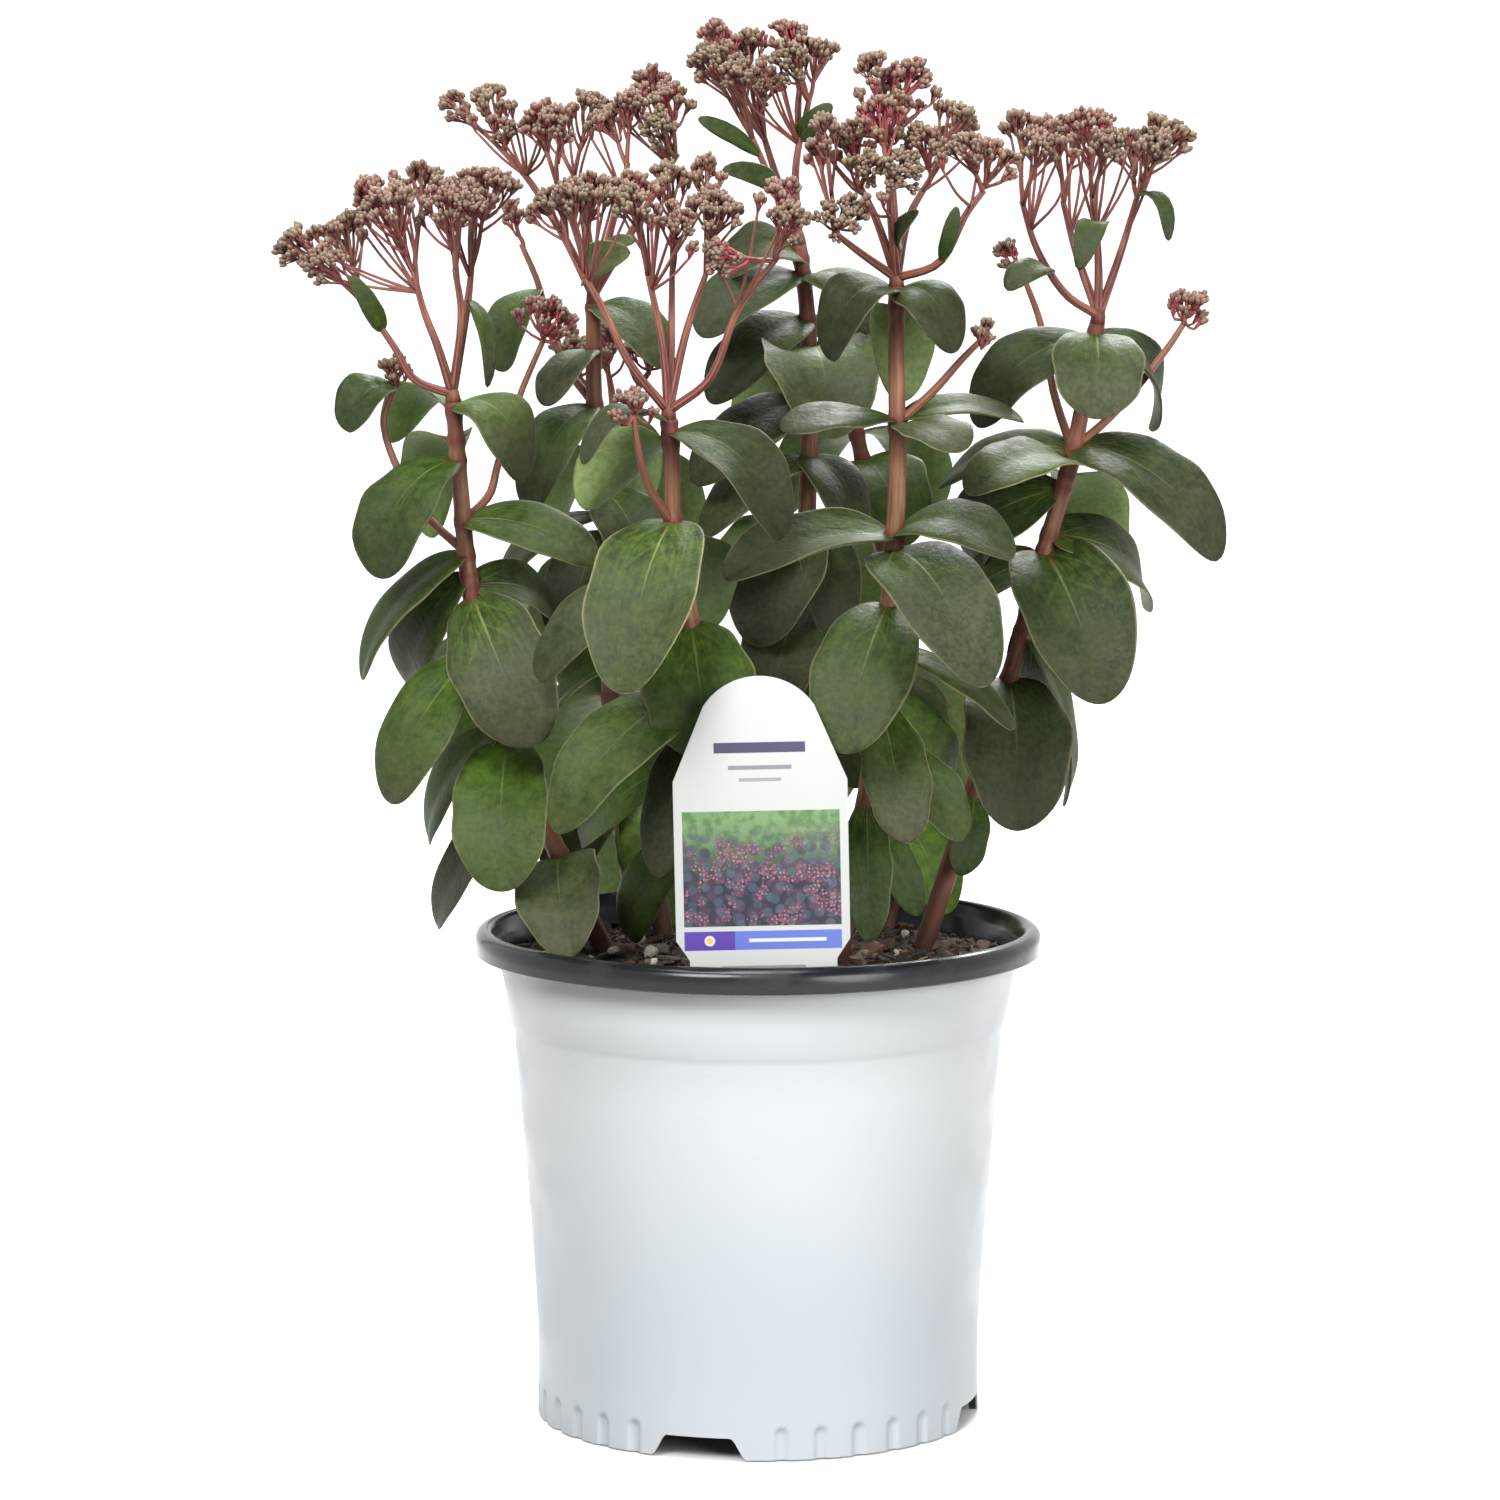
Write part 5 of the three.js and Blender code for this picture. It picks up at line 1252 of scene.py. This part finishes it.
def build_leaves(shoot, material, chance):
    """A shoot's broad leaves, then those on its sprays and in its head."""
    bm = new_piece()
    for height, tip_place, *form in shoot["leaves"]:
        tip = seen(tip_place)
        shape = leaf_shape(on_stem(shoot["stem"], height, tip), tip, *form, chance)
        add_leaf(bm, shape, *leaf_tones(shoot, tip_place[1], form[1], chance), chance)
    for spray in shoot["sprays"]:
        foot = on_stem(shoot["stem"], spray["height"], seen(spray["path"][0]))
        for share, tip_place, *form in spray.get("leaves", []):
            shape = leaf_shape(branch_line(foot, spray).at(share), seen(tip_place), *form, chance)
            add_leaf(bm, shape, 0.3, 0.3, chance)
    fork = neck_of(shoot)[1]
    for (number, share), tip_place, *form in shoot["head"]["leaves"]:
        base = branch_line(fork, shoot["head"]["branches"][number]).at(share)
        shape = leaf_shape(base, seen(tip_place), *form, chance)
        add_leaf(bm, shape, 0.35, 0.5, chance, SMALL_LEAF_GRID)
    finished(shoot["name"] + "_leaves", bm, material, replaces=[shoot["name"] + "_leafy_stem"])


# Stems, stalks and buds


def streak(part, corners, sides, pink):
    """Gives each corner of a tube its way round, which the streaks in its skin follow."""
    tones = part.verts.layers.float_vector["tone"]
    for k, v in enumerate(corners):
        angle = FULL_TURN * k / sides
        v[tones] = (pink, math.cos(angle), math.sin(angle))


def add_stalk(bm, places, radii, sides, growth, pink):
    """A stalk through places, thinning from radius to radius."""
    part = new_piece()
    corners = grow_tube(part, places, radii, sides)
    mark(part, corners, growth)
    streak(part, corners, sides, pink)
    join_part(bm, part)


def thinning(first, last, steps):
    return [first + (last - first) * k / steps for k in range(steps + 1)]


def grow_branch(bm, foot, branch, growth, chance):
    path = branch_line(foot, branch).run(BRANCH_STEPS)
    radii = thinning(BRANCH_FOOT, BRANCH_TIP, BRANCH_STEPS)
    add_stalk(bm, path, radii, BRANCH_SIDES, growth, chance.random())


def build_stem(shoot, skins, shapes, chance):
    """The stem with a swollen ring at each leaf, and its side sprays."""
    stem = shoot["stem"]
    places = Line([seen(place) for place in stem]).run(STEM_STEPS)
    heights = [seen_height(place) for place in places]
    nodes = [leaf[0] for leaf in shoot["leaves"]]
    rings = [max(math.exp(-(((height - node) / NODE_REACH) ** 2)) for node in nodes) for height in heights]
    plain = thinning(STEM_FOOT, STEM_NECK, STEM_STEPS)
    radii = [radius + NODE_SWELL * ring for radius, ring in zip(plain, rings)]
    part = new_piece()
    corners = grow_tube(part, places, radii, STEM_SIDES)
    for k, (height, ring) in enumerate(zip(heights, rings)):
        share = (height - stem[0][1]) / (stem[-1][1] - stem[0][1])
        mark(part, corners[k * STEM_SIDES:(k + 1) * STEM_SIDES], (share, ring, 0))
    streak(part, corners, STEM_SIDES, chance.random())
    bm, buds = new_piece(), new_piece()
    join_part(bm, part)
    for spray in shoot["sprays"]:
        start = on_stem(stem, spray["height"], seen(spray["path"][0]))
        grow_branch(bm, start, spray, GROWTH["spray"], chance)
        for crown in spray["buds"]:
            grow_cluster(bm, buds, spray, start, crown, shapes, chance)
    finished(shoot["name"] + "_stem", bm, skins["stalk"])
    if shoot["sprays"]:
        finished(shoot["name"] + "_spray_buds", buds, skins["bud"])


def bud_shape():
    """A blunt egg with four soft seams that draw in towards its tip."""
    bm = new_piece()
    bmesh.ops.create_uvsphere(bm, u_segments=8, v_segments=4, radius=1)
    for v in bm.verts:
        height = (v.co.z + 1) / 2
        seam = 0.5 + 0.5 * math.cos(4 * math.atan2(v.co.y, v.co.x))
        v.co.xy *= (1.05 - 0.2 * height) * (1 - 0.2 * seam * height)
        v.co.z = height
        mark(bm, [v], (height, seam, 0))
    return mesh_of(bm, "bud")


def pedicel_shape():
    """The thin stalk of one bud, from its foot up."""
    bm = new_piece()
    bmesh.ops.create_cone(bm, cap_ends=True, segments=5, radius1=1, radius2=0.8, depth=1)
    bmesh.ops.translate(bm, vec=(0, 0, 0.5), verts=bm.verts)
    mark(bm, bm.verts, GROWTH["pedicel"])
    return mesh_of(bm, "pedicel")


def grow_umbel(stalks, buds, top, way, count, tones, shapes, chance):
    """A knot of buds, each on a thin stalk. The place where the stalks part comes back."""
    hub = top - way * UMBEL["depth"]
    turn = turned_up_to(way)
    start = chance.uniform(*ANY_TURN)
    olive, pink = tones
    for k in range(count):
        angle = start + k * GOLDEN_ANGLE + chance.gauss(0, 0.2)
        share = UMBEL["spread"] * math.sqrt((k + 0.3) / count)
        out = outward(angle) * share * UMBEL["reach"]
        tip = top + turn @ (out - UP * (UMBEL["droop"] * share * share + chance.uniform(*UMBEL["drop"])))
        size = chance.uniform(*BUD["size"])
        lean = (tip - hub).normalized()
        base = tip - lean * BUD["length"] * size
        width = BUD["width"] / 2 * size * chance.uniform(*BUD["plump"])
        tone = (min(max(olive + chance.gauss(0, 0.25), 0), 1), pink * chance.random(), chance.random())
        stamp(buds, shapes["bud"], aimed(base, lean, (width, width, BUD["length"] * size), angle), tone)
        reach = (base - hub).length + 0.4
        stamp(stalks, shapes["pedicel"], aimed(hub, lean, (PEDICEL, PEDICEL, reach)), (pink, 0, 0))
    return hub


def umbel_places(crown, axis, radius, chance):
    """The top, way, share and count of buds of each umbel: over the flat dome first, then round its flank."""
    turn = turned_up_to(axis)
    start = chance.uniform(*ANY_TURN)
    count = max(3, round(CLUSTER["umbels_per_area"] * radius * radius))
    flank = round(CLUSTER["umbels_round"] * radius)
    for k in range(count + flank):
        over = k < count
        share = math.sqrt((k + 0.5) / count) if over else chance.uniform(*CLUSTER["flank"])
        out = outward(start + k * GOLDEN_ANGLE + chance.gauss(0, 0.15))
        drop = CLUSTER["dome"] * radius * share * share
        drop += chance.uniform(*CLUSTER["top_drop" if over else "flank_drop"])
        place = out * (radius - UMBEL["reach"] * 0.6) * share - UP * drop
        way = out * share * CLUSTER["splay"] + UP + small(chance, 0.12)
        size = chance.choice(UMBEL["top_buds" if over else "flank_buds"])
        yield crown + turn @ place, turn @ way.normalized(), share, size


def grow_cluster(stalks, buds, branch, foot, crown_place, shapes, chance):
    """A cluster at the end of a branch: a twig that parts into arms, an umbel on each, and the buds."""
    root = branch_line(foot, branch).at(TWIG_SHARE)
    *place, radius = crown_place
    crown = seen(place)
    axis = (crown - root).normalized()
    rise = min(CLUSTER["arms_under"] * radius + UMBEL["depth"], 0.85 * (crown - root).length)
    fork = crown - axis * rise
    middle = fork.lerp(crown, 0.3)
    tones = (smooth(chance.random(), 0.1, 1), smooth(chance.random(), 0.2, 1))
    twig = Line([root, root.lerp(fork, 0.5) + small(chance, 0.4), fork, middle]).run(TWIG_STEPS)
    radii = thinning(BRANCH_TIP, TWIG, TWIG_STEPS)
    add_stalk(stalks, twig, radii, TWIG_SIDES, GROWTH["twig"], tones[1])
    for top, way, share, count in umbel_places(crown, axis, radius, chance):
        hub = grow_umbel(stalks, buds, top, way, count, tones, shapes, chance)
        leave = middle.lerp(fork, min(share, 1)) if share < 1 else fork.lerp(root, chance.uniform(0, 0.5))
        bow = leave.lerp(hub, 0.55) - axis * 0.6 + small(chance, 0.25)
        arm = Line([leave, bow, hub + way * 0.3]).run(len(ARM_RADII) - 1)
        add_stalk(stalks, arm, ARM_RADII, ARM_SIDES, GROWTH["arm"], tones[1])


def grow_between(stalks, buds, crowns, roots, shapes, chance):
    """Small umbels that close the gaps between neighbouring clusters."""
    for first, other in itertools.combinations(crowns, 2):
        if not CLOSE_CROWNS[0] < (first - other).length < CLOSE_CROWNS[1]:
            continue
        top = first.lerp(other, chance.uniform(0.4, 0.6)) + small(chance, 1) - UP * chance.uniform(1, 4)
        root = min(roots, key=lambda place: (place - top).length)
        way = ((top - root).normalized() + UP).normalized()
        tones = (chance.random(), chance.random())
        hub = grow_umbel(stalks, buds, top, way, chance.choice(UMBEL["top_buds"]), tones, shapes, chance)
        bow = root.lerp(hub, 0.5) - UP + small(chance, 0.5)
        twiglet = Line([root, bow, hub + way * 0.3]).run(len(TWIGLET_RADII) - 1)
        add_stalk(stalks, twiglet, TWIGLET_RADII, ARM_SIDES, GROWTH["twiglet"], tones[1])


def build_head(shoot, skins, shapes, chance):
    """The neck on top of a stem, its branches, and their clusters of buds."""
    bm, buds = new_piece(), new_piece()
    end, fork, top = neck_of(shoot)
    add_stalk(bm, [end, fork, top], NECK_RADII, STEM_SIDES, GROWTH["neck"], chance.random())
    crowns, roots = [], []
    for branch in shoot["head"]["branches"]:
        grow_branch(bm, fork, branch, GROWTH["branch"], chance)
        roots.append(branch_line(fork, branch).at(chance.uniform(0.6, 0.9)))
        for crown in branch["buds"]:
            crowns.append(seen(crown[:3]))
            grow_cluster(bm, buds, branch, fork, crown, shapes, chance)
    grow_between(bm, buds, crowns, roots, shapes, chance)
    name = shoot["name"]
    finished(name + "_stalks", bm, skins["stalk"], replaces=[name + "_flower_head"])
    finished(name + "_buds", buds, skins["bud"])


def build_shoots():
    chance = random.Random(11)
    skins = {"leaf": leaf_finish(), "stalk": stalk_finish(), "bud": bud_finish()}
    shapes = {"bud": bud_shape(), "pedicel": pedicel_shape()}
    for shoot in SHOOTS:
        build_leaves(shoot, skins["leaf"], chance)
        build_stem(shoot, skins, shapes, chance)
        build_head(shoot, skins, shapes, chance)


# Stage


def build_stage():
    """A pale sweep all round: flat near the pot, with a painted shadow under it where its emission fades out,
    and rising to a soft wall.
    """
    profile = [(0, PAPER_LEVEL)]
    for k in range(PAPER_TURNS + 1):
        turn = math.pi / 2 * k / PAPER_TURNS
        rise = PAPER_BEND * (1 - math.cos(turn))
        profile.append((PAPER_FLAT + PAPER_BEND * math.sin(turn), PAPER_LEVEL + rise))
    profile.append((PAPER_FLAT + PAPER_BEND, PAPER_TOP))
    bm = new_piece()
    spun(bm, profile, PAPER_STEPS)
    paper = Finish("white_paper", 0.9, Emission_Color=rgb(255, 255, 255))
    paper.colour(rgb(212, 212, 212))
    from_axis = paper.add("ShaderNodeVectorMath", paper.stretched((1, 1, 0)), operation="LENGTH")
    # Painted shadow: the paper's emission fades out near the pot's axis, darkening the floor under and around
    # the foot.
    glow_and_painted_shadow = paper.between(from_axis.outputs["Value"], *PAPER_PAINTED_SHADOW, 0, PAPER_GLOW)
    paper.feed(paper.surface.inputs["Emission Strength"], glow_and_painted_shadow)
    sweep = placed("paper_sweep", bm, paper.material)
    sweep.visible_diffuse = False
    sweep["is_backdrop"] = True


def build_light():
    world = bpy.data.worlds.new("studio")
    world.use_nodes = True
    sky = world.node_tree.nodes["Background"]
    sky.inputs["Color"].default_value = (1, 1, 1, 1)
    sky.inputs["Strength"].default_value = SKY
    bpy.context.scene.world = world
    for name, given in LIGHTS.items():
        light = bpy.data.lights.new(name, "AREA")
        light.shape = "DISK"
        light.size = given["size"]
        light.energy = given["power"]
        lamp = bpy.data.objects.new(name, light)
        lamp.location = given["place"]
        lamp.rotation_euler = (LIGHT_AIM - given["place"]).to_track_quat("-Z", "Y").to_euler()
        bpy.context.scene.collection.objects.link(lamp)


def build_camera():
    data = bpy.data.cameras.new("front")
    data.lens = LENS
    data.sensor_width = 36
    data.clip_end = 100
    camera = bpy.data.objects.new("front", data)
    camera.location = EYE * MM
    camera.rotation_euler = (math.radians(90 - LOOK_DOWN), 0, 0)
    bpy.context.scene.collection.objects.link(camera)
    bpy.context.scene.camera = camera


build_camera()
bpy.context.scene.view_settings.view_transform = "Standard"
build_pot()
build_soil_bed()
scatter_bits(random.Random(4))
build_tag()
build_shoots()
build_stage()
build_light()

boxes = {"cad": CAD_BOX, "visual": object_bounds()}
{name: [list(corner) for corner in box] for name, box in boxes.items()}
